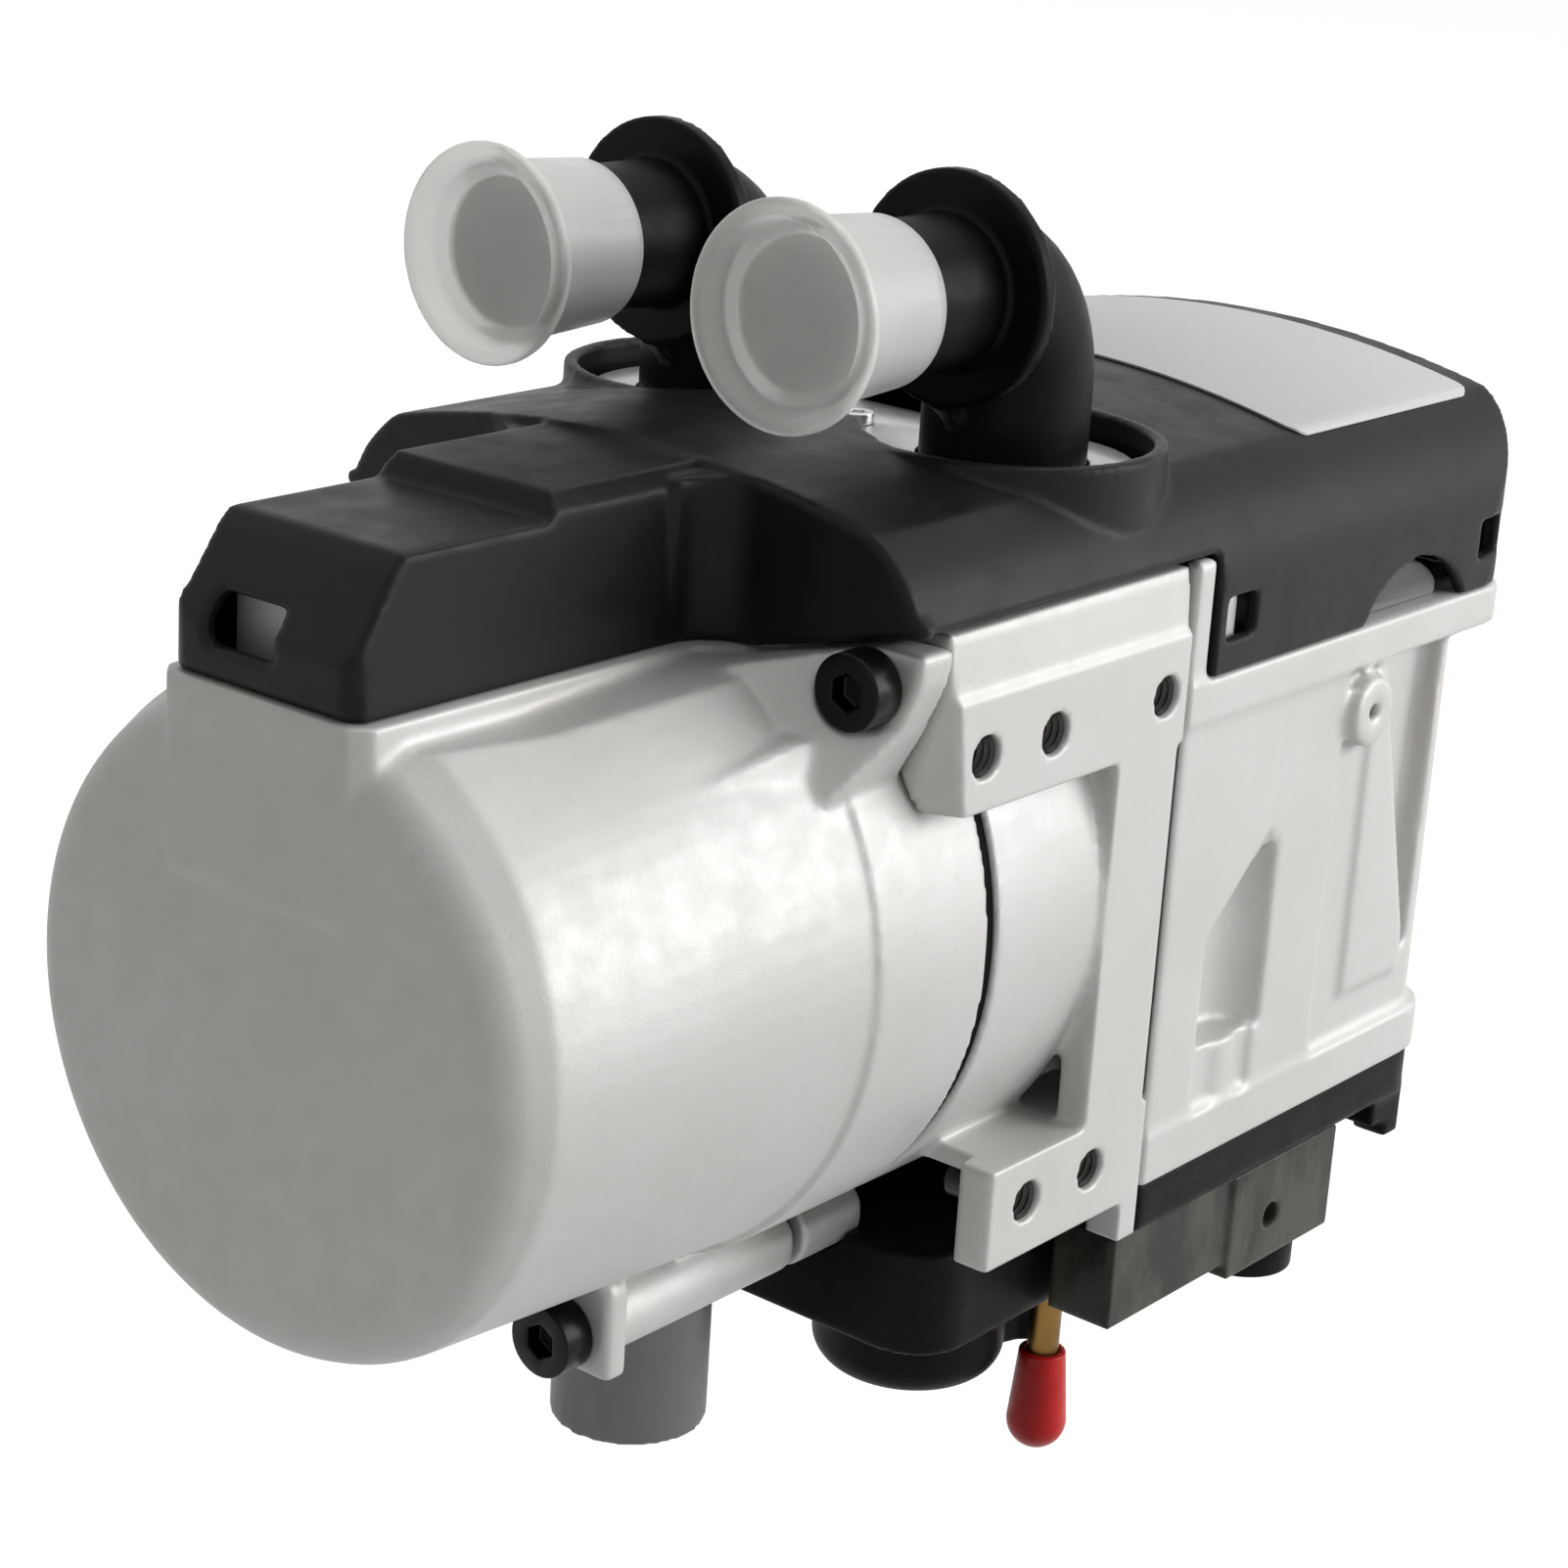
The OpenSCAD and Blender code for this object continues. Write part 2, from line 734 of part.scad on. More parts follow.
module burner_core() {
    x_bar(collar_r, seal_t / 2, ring_end_x);
    x_bar(collar_r - ring_step, ring_end_x - cut, pad_right_x);
    block([seal_t / 2, pad_back_y - cut, pad_low_edge],
          [pad_right_x, side_y - band_step, pad_top_z]);
    block([pad_left_x, side_y - pad_t, lug_z - pad_t],
          [seal_t, side_y - band_step, pad_top_z]);
    for (s = [-1, 1]) translate([0, s * lug_y, lug_z])
        x_bar(screw_head_d / 2, pad_left_x, seal_t);
    elbow_places() translate([0, 0, pad_top_z - cut])
        cylinder(r = tower_r, h = plate_z - pad_top_z + cut);
    translate([elbow_x, 0, pad_top_z - cut])
        cylinder(r = tower_r / 2, h = plate_z - pad_top_z + cut);
    translate([0, low_screw_y, low_screw_z]) x_bar(low_boss_r, seal_t / 2, low_boss_end_x);
}

module burner_head() color("gainsboro") from_seal() difference() {
    union() {
        mounting_face();
        burner_core();
    }
    pad_slant();
    x_bar(tube_flange_r + gap, seal_t / 2 - cut, burner_bore_end);
    x_bar(collar_r + gap, pad_left_x - cut, seal_t / 2);
    x_bar(air_hole_r, 0, pad_right_x + cut);
    translate([0, 0, plug_z])
        x_bar(plug_r - plug_r / 4, 0, burner_bore_end + plug_hold);
    pad_holes() rotate([90, 0, 0]) translate([0, 0, side_y - pad_hole_depth])
        cylinder(d = pad_hole_d, h = pad_hole_depth + cut);
    elbow_places() translate([0, 0, port_z]) cylinder(r = port_r + gap, h = plate_z);
    elbow_places() translate([0, 0, port_z - port_depth])
        cylinder(d = spigot_d + 2 * running, h = port_depth + cut);
    for (s = [-1, 1]) translate([0, s * lug_y, lug_z])
        x_bar(screw_d / 2, pad_left_x - cut, pad_left_x + screw_hold);
    translate([0, low_screw_y, low_screw_z])
        x_bar(screw_d / 2, 0, low_boss_end_x - low_boss_r / 2);
    retaining_screw_places() translate([0, 0, plate_z - retaining_screw_l])
        cylinder(d = retaining_screw_d, h = retaining_screw_l + cut);
}

// Clamps the elbows' base flanges down on the ports
module retaining_screw_places() {
    translate([elbow_x, 0, 0]) children();
    for (s = [-1, 1]) translate([elbow_x - ear_x, s * elbow_y, 0]) children();
}

module retaining_plate() color("lightgray") from_seal() difference() {
    translate([0, 0, plate_z]) linear_extrude(plate_t) {
        elbow_places() circle(tower_r);
        translate([elbow_x - bridge_w / 2, -elbow_y]) square([bridge_w, elbow_pitch]);
    }
    elbow_places() translate([0, 0, plate_z - cut])
        cylinder(d = column_d + 2 * gap, h = plate_t + 2 * cut);
    retaining_screw_places() translate([0, 0, plate_z - cut])
        cylinder(d = retaining_screw_d + 2 * screw_gap, h = plate_t + 2 * cut);
}

module retaining_screws() color("gray") from_seal() retaining_screw_places() {
    translate([0, 0, plate_z + plate_t]) difference() {
        cylinder(r = retaining_head_r, h = retaining_screw_d / 2);
        translate([0, 0, retaining_screw_d / 4])
            cylinder(r = retaining_head_r / 2, h = retaining_screw_d, $fn = 6);
    }
    translate([0, 0, plate_z - retaining_screw_l + cut])
        cylinder(d = retaining_screw_d, h = retaining_screw_l + plate_t - cut + gap / 2);
}

// Screws that draw the jacket against the burner head
module jacket_screws() color("black") from_seal() {
    for (s = [-1, 1]) translate([0, s * lug_y, lug_z])
        screw(lug_front_x, pad_left_x + screw_hold - cut);
    translate([0, low_screw_y, low_screw_z])
        screw(low_plate_x, low_boss_end_x - low_boss_r);
}

module screw(seat_x, end_x) {
    difference() {
        x_bar(screw_head_d / 2, seat_x - head_h, seat_x);
        translate([seat_x - head_h - cut, 0, 0]) rotate([0, 90, 0])
            cylinder(d = socket_d, h = socket_depth + cut, $fn = 6);
    }
    x_bar(screw_d / 2, seat_x - cut, end_x);
}

// Exhaust stub from the heat exchanger down through the jacket
module exhaust_stub() color("silver") from_seal() difference() {
    translate([-exhaust_x, exhaust_y, -exhaust_drop])
        cylinder(d = exhaust_d, h = exhaust_drop - collar_r - exhaust_boss_h);
    translate([-exhaust_x, exhaust_y, -exhaust_drop])
        cylinder(d = exhaust_d - 2 * exhaust_step, h = exhaust_drop - cup_r / 2);
    translate([-exhaust_x, exhaust_y, -exhaust_drop - cut])
        cylinder(d = exhaust_d - 2 * exhaust_wall, h = exhaust_drop);
    x_bar(cup_r, -cup_l, seal_t);
}

// Sensor in the jacket's wall, under the hood's tongue
module temperature_sensor() color("goldenrod") from_seal() translate([sensor_x, 0, 0]) {
    translate([0, 0, tongue_edge_z]) cylinder(r = sensor_r, h = sensor_hex_h, $fn = 6);
    translate([0, 0, tongue_edge_z + sensor_hex_h - cut])
        cylinder(r = 0.6 * sensor_r, h = sensor_h + cut);
}

// Blower housing with its ribs, screw channel and latch posts
module housing_plan(out, end_x, r) {
    intersection() {
        round_rect([housing_left_x - 2 * r, -side_y - out + wall_in],
                   [end_x, side_y + out - wall_in], r);
        translate([housing_left_x, -body_w]) square([blower_l, 2 * body_w]);
    }
}

module housing_shell() {
    translate([0, 0, -blower_bottom]) linear_extrude(flange_top_z + blower_bottom)
        housing_plan(0, blower_end_x - wall_in, corner_r);
    translate([0, 0, flange_top_z - flange_t]) linear_extrude(flange_t)
        housing_plan(wall_in, blower_l, flange_corner_r);
    translate([0, 0, -blower_bottom]) linear_extrude(rim_h)
        housing_plan(wall_in, blower_end_x, corner_r);
}

// Raised panels on the housing's side, seen from -Y
module side_panels() {
    polygon([[housing_left_x, -blower_bottom], [housing_left_x, flange_top_z],
             [panel_a_x, flange_top_z], [panel_a_x, channel_top_z],
             [channel_x - channel_r, channel_top_z - channel_fall],
             [channel_x - channel_r, -blower_bottom]]);
    translate([panel_a_x + panel_gap, -blower_bottom])
        square([panel_b_end_x - panel_a_x - panel_gap, flange_top_z + blower_bottom]);
    translate([panel_c_x, panel_c_z])
        square([panel_c_w, flange_top_z - panel_c_z]);
}

module side_relief() {
    along_y(-side_y + panel_out, -side_y + wall_in + cut) side_panels();
    translate([boss_x, wall_in + cut - side_y, boss_z]) rotate([90, 0, 0])
        cylinder(r = boss_r, h = wall_in + cut + boss_out);
    translate([channel_x, screw_tower_r + screw_tower_in - side_y, rim_h - blower_bottom - cut])
        cylinder(r = screw_tower_r, h = blower_bottom - rim_h + cut + channel_low_z);
}

module side_cuts() {
    intersection() {
        translate([channel_x, -side_y - channel_out, channel_low_z])
            cylinder(r = channel_r, h = channel_top_z - channel_low_z + cut);
        along_y(-side_y - 2 * channel_r, -side_y + channel_r)
            polygon([[channel_x - channel_r - cut, channel_low_z - cut],
                     [channel_x + channel_r + cut, channel_low_z - cut],
                     [channel_x + channel_r + cut, channel_top_z],
                     [channel_x - channel_r - cut, channel_top_z - channel_fall]]);
    }
    along_y(-side_y - cut, taper_depth - side_y)
        polygon([[taper_x, flange_top_z - flange_t], [taper_end_x, flange_top_z - flange_t],
                 [taper_low_x + cut, taper_low_z], [taper_low_x - cut, taper_low_z]]);
    translate([boss_x, -side_y + boss_hole_depth, boss_z]) rotate([90, 0, 0])
        cylinder(r = boss_hole_r, h = boss_hole_depth + boss_out + cut);
}

module latch_posts() {
    for (p = latch_places)
        block([p[0], -side_y + hood_wall + p[1], flange_top_z - cut],
              [p[0] + latch_w, -side_y + hood_wall + p[1] + latch_t, latch_top_z - gap]);
    block([housing_left_x + gap, -side_y + panel_out, flange_top_z - cut],
          [hood_step_x - slot_w, -side_y + wall_in + latch_t, hood_edge_z - gap]);
}

module housing_cavity() {
    x_bar(chamber_r, housing_left_x + housing_wall, bulkhead_x);
    x_bar(motor_d / 2 + housing_wall, motor_x, blower_end_x - 2 * housing_wall);
    x_bar(air_hole_r, housing_left_x - cut, bulkhead_x);
    x_bar(shaft_d / 2 + 2 * gap, bulkhead_x - cut, motor_x + cut);
}

module blower_housing() color("silver") from_seal() difference() {
    union() {
        housing_shell();
        both_sides() side_relief();
        both_sides() latch_posts();
    }
    both_sides() side_cuts();
    housing_cavity();
    for (p = post_places) translate([p[0], p[1], flange_top_z - post_hold])
        cylinder(r = post_r, h = post_hold + cut);
}

// Black base under the blower housing and the burner head
module base_tray() {
    translate([0, 0, -blower_bottom - base_h]) linear_extrude(base_h) intersection() {
        round_rect([base_left_x - 2 * corner_r, base_in - side_y],
                   [blower_end_x - base_in, side_y - base_in], corner_r - base_in);
        translate([base_left_x, -body_w]) square([blower_l, 2 * body_w]);
    }
}

module base_cover() color("black") from_seal() difference() {
    union() {
        base_tray();
        translate([0, 0, -hump_bottom]) linear_extrude(hump_bottom - blower_bottom - base_h + cut)
            round_rect([hump_left_x, -hump_y], [hump_right_x, hump_y], hump_r);
        along_y(hook_y - hook_w, hook_y)
            polygon([[hook_x, -blower_bottom - base_h + cut],
                     [hook_x + hook_l, -blower_bottom - base_h + cut],
                     [hook_x + hook_l, -hook_low], [hook_x + hook_l / 2, -hook_low],
                     [hook_x + hook_l / 2, -hook_low + hook_t], [hook_x, -hook_low + hook_t]]);
    }
    translate([nipple_x, nipple_y, -hump_bottom - cut])
        cylinder(d = nipple_d, h = nipple_hold + cut);
    translate([intake_x, intake_y, -hump_bottom - cut])
        cylinder(r = intake_d / 2 - intake_wall, h = intake_hold + cut);
    translate([0, low_screw_y, low_screw_z]) x_bar(low_boss_r + gap, 0, low_boss_end_x + gap);
}

// Air intake: a bowl that hangs under the base and opens downwards
module air_intake() color("black") from_seal() translate([intake_x, intake_y, 0]) difference() {
    union() {
        translate([0, 0, -hump_bottom]) cylinder(r = intake_d / 2 - intake_wall, h = intake_hold);
        translate([0, 0, -intake_drop]) rotate_extrude() intersection() {
            round_rect([-intake_d / 2, 0], [intake_d / 2, 2 * intake_drop], intake_edge_r);
            square([intake_d, intake_drop - hump_bottom]);
        }
        translate([0, 0, lobe_up - intake_drop])
            linear_extrude(intake_drop - lobe_up - hump_bottom) lobe_outline();
    }
    translate([0, 0, -intake_drop - cut]) cylinder(d = intake_bore, h = intake_bore_l + cut);
}

module lobe_outline() {
    translate([lobe_x, lobe_y]) circle(lobe_r);
    polygon([[0, lobe_neck], [lobe_x, lobe_y + lobe_neck], [lobe_x, lobe_y - lobe_neck],
             [0, -lobe_neck]]);
}

// Connector housings in the base's side
module connector_block() color("darkslategray") from_seal() difference() {
    union() {
        block([plug_a_x, plug_front_y, -plug_a_low],
              [plug_b_x, plug_front_y + plug_depth, -blower_bottom - base_h]);
        block([plug_b_x - cut, plug_front_y - plug_step, -plug_b_low],
              [plug_end_x, plug_front_y + plug_depth, -blower_bottom - base_h]);
    }
    translate([keyhole_x, plug_front_y + keyhole_depth, keyhole_z]) rotate([90, 0, 0])
        cylinder(r = keyhole_r, h = keyhole_depth + plug_step + cut);
}

module round_socket() color("black") from_seal() translate([socket_x, socket_y, 0]) difference() {
    translate([0, 0, -socket_low]) cylinder(r = socket_r, h = socket_low - plug_b_low);
    translate([0, 0, -socket_low - cut]) cylinder(r = socket_r - socket_wall, h = socket_deep + cut);
}

// Hood: one moulding with a tongue, collars, windows and a cable arch
module hood_section(inset) {
    half = side_y - shoulder_r;
    intersection() {
        translate([0, hood_h - crown_r]) circle(crown_r - inset, $fn = fine);
        union() {
            translate([inset - side_y, 0]) square([2 * (side_y - inset), shoulder_z]);
            translate([-half, 0]) square([2 * half, hood_h + cut]);
            for (s = [-1, 1]) translate([s * half, shoulder_z])
                circle(shoulder_r - inset, $fn = fine);
        }
    }
}

module hood_body(inset, start_x) {
    intersection() {
        along_x(start_x, blower_l - inset) hood_section(inset);
        linear_extrude(hood_h + cut)
            round_rect([start_x - hood_end_r, inset - side_y],
                       [blower_l - inset, side_y - inset], hood_end_r);
    }
}

module hood_side() {
    polygon([[hood_wall_x, hood_edge_z], [hood_wall_x, hood_h + cut],
             [blower_l, hood_h + cut], [blower_l, flange_top_z],
             [hood_step_x, flange_top_z], [hood_step_x, hood_edge_z]]);
}

module tongue_side(inset, low) {
    polygon([[tongue_front_x + inset, low],
             [tongue_front_x + inset, tongue_chin_z],
             [tongue_brow_x + inset, tongue_top_z - tongue_brow_h - inset],
             [tongue_brow_x + tongue_brow_h + inset, tongue_top_z - inset],
             [tongue_step_x + inset, tongue_top_z - inset],
             [tongue_step_x + tongue_draft + inset, tongue_high_z - inset],
             [hood_wall_x + 2 * hood_wall, tongue_high_z - inset],
             [hood_wall_x + 2 * hood_wall, low]]);
}

module tongue_section(inset) {
    half = tongue_w / 2 - inset;
    polygon([[-half, 0], [-half, tongue_edge_z],
             [tongue_draft - half, tongue_high_z - 2 * tongue_draft - inset],
             [2.5 * tongue_draft - half, tongue_high_z - inset / 2],
             [half - 2.5 * tongue_draft, tongue_high_z - inset / 2],
             [half - tongue_draft, tongue_high_z - 2 * tongue_draft - inset],
             [half, tongue_edge_z], [half, 0]]);
}

module tongue_plan() {
    polygon([[tongue_front_x, tongue_corner - tongue_w / 2],
             [tongue_front_x + tongue_corner, -tongue_w / 2 - cut],
             [0, -tongue_w / 2 - cut], [0, tongue_w / 2 + cut],
             [tongue_front_x + tongue_corner, tongue_w / 2 + cut],
             [tongue_front_x, tongue_w / 2 - tongue_corner]]);
}

module tongue(inset, low) {
    intersection() {
        along_y(-tongue_w, tongue_w) tongue_side(inset, low);
        along_x(tongue_front_x, hood_wall_x + 2 * hood_wall) tongue_section(inset);
        linear_extrude(hood_h) tongue_plan();
    }
}

module tongue_flare() {
    translate([0, 0, tongue_edge_z]) linear_extrude(tongue_flare_z - tongue_edge_z)
        difference() {
            translate([hood_wall_x - tongue_flare_r, tongue_w / 2 - tongue_draft])
                square([tongue_flare_r + hood_wall, tongue_flare_r + tongue_draft]);
            translate([hood_wall_x - tongue_flare_r, tongue_w / 2 + tongue_flare_r])
                circle(tongue_flare_r);
        }
}

module hood_outside() {
    intersection() {
        hood_body(0, hood_wall_x);
        along_y(-body_w, body_w) hood_side();
    }
    both_sides() along_x(hood_wall_x, hood_wall_x + hood_wall)
        flange_top(wall_clear, hood_edge_z + hood_wall);
    tongue(0, tongue_edge_z);
    both_sides() tongue_flare();
}

module hood_openings() {
    elbow_places() translate([0, 0, flange_top_z])
        cylinder(r = ring_r - ring_wall, h = hood_h);
    block([elbow_x - bridge_w / 2 - gap, -elbow_y, flange_top_z],
          [elbow_x + bridge_w / 2 + gap, elbow_y, hood_h + cut]);
    block([tongue_front_x - cut, window_y - window_w / 2, window_low_z],
          [tongue_front_x + 4 * hood_wall, window_y + window_w / 2, window_top_z]);
    for (p = latch_places) both_sides()
        block([p[0] - window_gap, -side_y - cut, latch_low_z],
              [p[0] + latch_w + window_gap, -side_y + 3 * hood_wall, latch_top_z]);
    along_y(-side_y - cut, hood_wall - side_y + cut) intersection() {
        translate([arch_x, flange_top_z - arch_r + arch_h]) circle(arch_r);
        translate([arch_x - arch_r, flange_top_z - cut])
            square([2 * arch_r, arch_h + 2 * cut]);
    }
}

module hood() color([0.1, 0.1, 0.1]) from_seal() difference() {
    union() {
        difference() {
            hood_outside();
            hood_body(hood_wall, hood_wall_x + hood_wall);
            tongue(hood_wall, 0);
        }
        elbow_places() translate([0, 0, collar_low_z])
            cylinder(r = ring_r, h = ring_z - collar_low_z);
    }
    hood_openings();
}

// Bare label that follows the hood's crown
module label_plate() color("whitesmoke") from_seal() intersection() {
    difference() {
        along_x(label_x, label_end_x) hood_section(-label_t - label_gap);
        along_x(label_x - cut, label_end_x + cut) hood_section(-label_gap);
    }
    linear_extrude(2 * hood_h) round_rect([label_x, -label_y], [label_end_x, label_y], label_r);
}

// Rubber grommet for the harness, in the hood's arch
module harness_grommet() color("dimgray") from_seal() {
    along_y(-side_y + grommet_in, -side_y + grommet_in + grommet_t) intersection() {
        translate([arch_x, flange_top_z - arch_r + arch_h]) circle(arch_r - 4 * gap);
        translate([arch_x - grommet_w / 2, flange_top_z]) square([grommet_w, arch_h]);
    }
}

// Control board under the hood, on four posts
module control_board() color("darkgreen") from_seal() {
    difference() {
        block([board_x, -board_y, board_z], [board_x + board_l, board_y, board_z + board_t]);
        for (p = post_places) translate([p[0], p[1], board_z - cut])
            cylinder(r = post_pin_r + screw_gap, h = board_t + 2 * cut);
    }
    for (c = chip_shares)
        translate([board_x + c[0] * board_l, (c[1] - 0.5) * 2 * board_y, board_z + board_t / 2])
        cube([c[2] * board_l, c[3] * 2 * board_y, c[4] * chip_h + board_t / 2]);
}

module board_posts() color("silver") from_seal()
    for (p = post_places) translate([p[0], p[1], 0]) {
        translate([0, 0, flange_top_z - post_hold])
            cylinder(r = post_r, h = board_z - flange_top_z + post_hold);
        translate([0, 0, board_z - cut]) cylinder(r = post_pin_r, h = board_t + 2 * cut);
    }

// Motor and impeller
module motor_case() color("dimgray") from_seal() difference() {
    x_bar(motor_d / 2, motor_x, motor_x + motor_l);
    x_bar(shaft_d / 2 + 2 * gap, motor_x - cut, motor_x + motor_l + cut);
    for (x = [motor_x - cut, motor_x + motor_l - bearing_t])
        x_bar(bearing_d / 2, x, x + bearing_t + cut);
}

module motor_bearings() color("lightgray") from_seal()
    for (x = [motor_x, motor_x + motor_l - bearing_t]) difference() {
        x_bar(bearing_d / 2, x, x + bearing_t);
        x_bar(shaft_d / 2 + running, x - cut, x + bearing_t + cut);
    }

module motor_shaft() color("silver") from_seal()
    x_bar(shaft_d / 2, shaft_x, shaft_x + shaft_l);

module blade_outline() {
    difference() {
        circle(r = blade_r + blade_t / 2);
        circle(r = blade_r - blade_t / 2);
        translate([-2 * blade_r, -2 * blade_r]) square([2 * blade_r, 4 * blade_r]);
        translate([-2 * blade_r, -4 * blade_r]) square([4 * blade_r, 4 * blade_r]);
    }
}

module impeller() color("white") from_seal() difference() {
    union() {
        x_bar(hub_r, impeller_x, impeller_x + impeller_t);
        x_bar(impeller_d / 2, impeller_x + impeller_t - back_t, impeller_x + impeller_t);
        along_x(impeller_x, impeller_x + impeller_t - back_t / 2) intersection() {
            for (i = [0:blade_n - 1]) rotate(i * 360 / blade_n)
                translate([-blade_r, hub_r - blade_t]) blade_outline();
            circle(d = impeller_d);
        }
    }
    x_bar(shaft_d / 2, impeller_x - cut, impeller_x + impeller_t + cut);
}

// Water elbow with its stop disc, gusset, base flange and spigot
module elbow_solid() {
    translate([0, 0, port_z - spigot_l]) cylinder(d = spigot_d, h = spigot_l + gap + cut);
    translate([0, 0, port_z + gap]) cylinder(r = port_r, h = port_top_t - 2 * gap);
    translate([0, 0, port_z + gap]) cylinder(d = column_d, h = stub_z - bend_r - port_z - gap);
    translate([-bend_r, 0, stub_z - bend_r]) rotate([90, 0, 0])
        rotate_extrude(angle = 90) translate([bend_r, 0]) circle(d = column_d);
    translate([0, 0, stub_z]) {
        x_bar(column_d / 2, -disc_x + cut, -bend_r);
        x_bar(disc_d / 2, -disc_x, disc_t - disc_x);
        x_bar(stub_d / 2, -disc_x - stub_l, cut - disc_x);
    }
    along_y(-gusset_t / 2, gusset_t / 2)
        polygon([[-disc_x, stub_z], [-disc_x, stub_z - disc_d / 2],
                 [-column_d / 4, port_z + port_top_t + gap + plate_t], [0, stub_z - bend_r]]);
}

module elbow_bores() {
    translate([0, 0, port_z - spigot_l - cut])
        cylinder(d = elbow_bore, h = stub_z - bend_r - port_z + spigot_l + cut);
    translate([-bend_r, 0, stub_z - bend_r]) rotate([90, 0, 0])
        rotate_extrude(angle = 90) translate([bend_r, 0]) circle(d = elbow_bore);
    translate([0, 0, stub_z]) x_bar(elbow_bore / 2, -disc_x - stub_l - cut, -bend_r);
    translate([0, 0, port_z - spigot_l / 2 - seal_d / 2]) difference() {
        cylinder(d = spigot_d + cut, h = seal_d);
        translate([0, 0, -cut]) cylinder(d = spigot_d - seal_depth, h = seal_d + 2 * cut);
    }
}

module elbow(side) {
    from_seal() translate([elbow_x, side * elbow_y, 0]) difference() {
        elbow_solid();
        elbow_bores();
    }
}

module port_seal(side) {
    from_seal() translate([elbow_x, side * elbow_y, port_z - spigot_l / 2 - seal_d / 2])
        difference() {
            cylinder(d = spigot_d, h = seal_d);
            translate([0, 0, -cut]) cylinder(d = spigot_d - seal_depth, h = seal_d + 2 * cut);
        }
}

module elbow_front() color([0.12, 0.12, 0.12]) elbow(-1);
module elbow_rear() color([0.12, 0.12, 0.12]) elbow(1);
module port_seal_front() color("black") port_seal(-1);
module port_seal_rear() color("black") port_seal(1);

// Soft cap that closes a hose stub for transport
module cap(side) {
    mouth_r = stub_d / 2 + running;
    from_seal() translate([elbow_x - disc_x - stub_l - cap_reach, side * elbow_y, stub_z])
        rotate([0, 90, 0]) rotate_extrude()
        polygon([[0, cap_recess], [cap_flange_d / 2 - cap_rim_t - cap_wall, cap_recess],
                 [cap_flange_d / 2 - cap_rim_t, 0], [cap_flange_d / 2 - cap_wall / 2, 0],
                 [cap_flange_d / 2, cap_wall / 2], [cap_flange_d / 2, cap_rim_t - cap_wall / 2],
                 [mouth_r + cap_wall + cap_taper, cap_rim_t + cap_wall],
                 [mouth_r + cap_wall, cap_l], [mouth_r, cap_l],
                 [mouth_r, cap_recess + cap_floor_t], [0, cap_recess + cap_floor_t]]);
}

module cap_front() color([0.95, 0.95, 0.93, 0.8]) cap(-1);
module cap_rear() color([0.95, 0.95, 0.93, 0.8]) cap(1);

// Fuel nipple and its red cap
module fuel_nipple() color("gold") from_seal() translate([nipple_x, nipple_y, 0]) difference() {
    translate([0, 0, -nipple_drop]) cylinder(d = nipple_d, h = nipple_drop - hump_bottom + nipple_hold);
    translate([0, 0, -nipple_drop - cut]) cylinder(d = nipple_d / 2, h = nipple_drop);
}

module fuel_cap() color("red") from_seal() translate([nipple_x, nipple_y, -fuel_cap_z]) difference() {
    union() {
        translate([0, 0, -fuel_cap_l + fuel_cap_r]) sphere(r = fuel_cap_r);
        rotate_extrude() polygon([[0, 0], [fuel_cap_top_r, 0], [fuel_cap_r, fuel_cap_r - fuel_cap_l],
                                  [0, fuel_cap_r - fuel_cap_l]]);
    }
    translate([0, 0, -nipple_drop + fuel_cap_z - gap])
        cylinder(d = nipple_d + 2 * running, h = nipple_drop);
}

water_jacket();
jacket_seal();
heat_exchanger();
combustion_tube();
glow_plug();
burner_head();
blower_housing();
base_cover();
air_intake();
connector_block();
round_socket();
hood();
label_plate();
harness_grommet();
control_board();
board_posts();
retaining_plate();
retaining_screws();
temperature_sensor();
exhaust_stub();
jacket_screws();
motor_case();
motor_bearings();
motor_shaft();
impeller();
elbow_front();
elbow_rear();
port_seal_front();
port_seal_rear();
cap_front();
cap_rear();
fuel_nipple();
fuel_cap();
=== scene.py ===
import json
import math

import bmesh
import bpy
from mathutils import Matrix, Vector


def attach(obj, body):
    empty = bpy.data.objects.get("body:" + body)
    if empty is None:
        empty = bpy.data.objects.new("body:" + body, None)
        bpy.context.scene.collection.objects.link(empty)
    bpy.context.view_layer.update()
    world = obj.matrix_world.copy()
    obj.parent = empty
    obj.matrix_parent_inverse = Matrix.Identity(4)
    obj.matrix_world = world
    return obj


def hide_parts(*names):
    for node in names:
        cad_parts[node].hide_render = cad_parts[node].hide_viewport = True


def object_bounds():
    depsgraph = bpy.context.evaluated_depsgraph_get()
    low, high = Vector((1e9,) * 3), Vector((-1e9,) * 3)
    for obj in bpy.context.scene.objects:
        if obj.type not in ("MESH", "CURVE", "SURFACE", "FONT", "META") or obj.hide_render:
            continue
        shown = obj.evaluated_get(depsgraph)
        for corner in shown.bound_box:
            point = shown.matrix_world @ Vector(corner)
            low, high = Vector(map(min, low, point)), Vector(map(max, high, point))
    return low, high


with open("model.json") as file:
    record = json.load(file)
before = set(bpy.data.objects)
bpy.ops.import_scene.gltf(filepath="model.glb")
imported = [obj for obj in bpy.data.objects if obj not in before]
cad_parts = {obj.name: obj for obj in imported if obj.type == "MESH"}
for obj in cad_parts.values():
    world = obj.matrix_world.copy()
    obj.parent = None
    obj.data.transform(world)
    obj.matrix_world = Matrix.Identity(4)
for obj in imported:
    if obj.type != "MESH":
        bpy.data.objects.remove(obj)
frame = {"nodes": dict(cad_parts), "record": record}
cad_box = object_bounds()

MM = 0.001
# The CAD source counts its places from the seal plane and the jacket's axis.
# This is where that point lies in the part's own frame.
SEAL = Vector((-14.35, 50.0, -28.5)) * MM

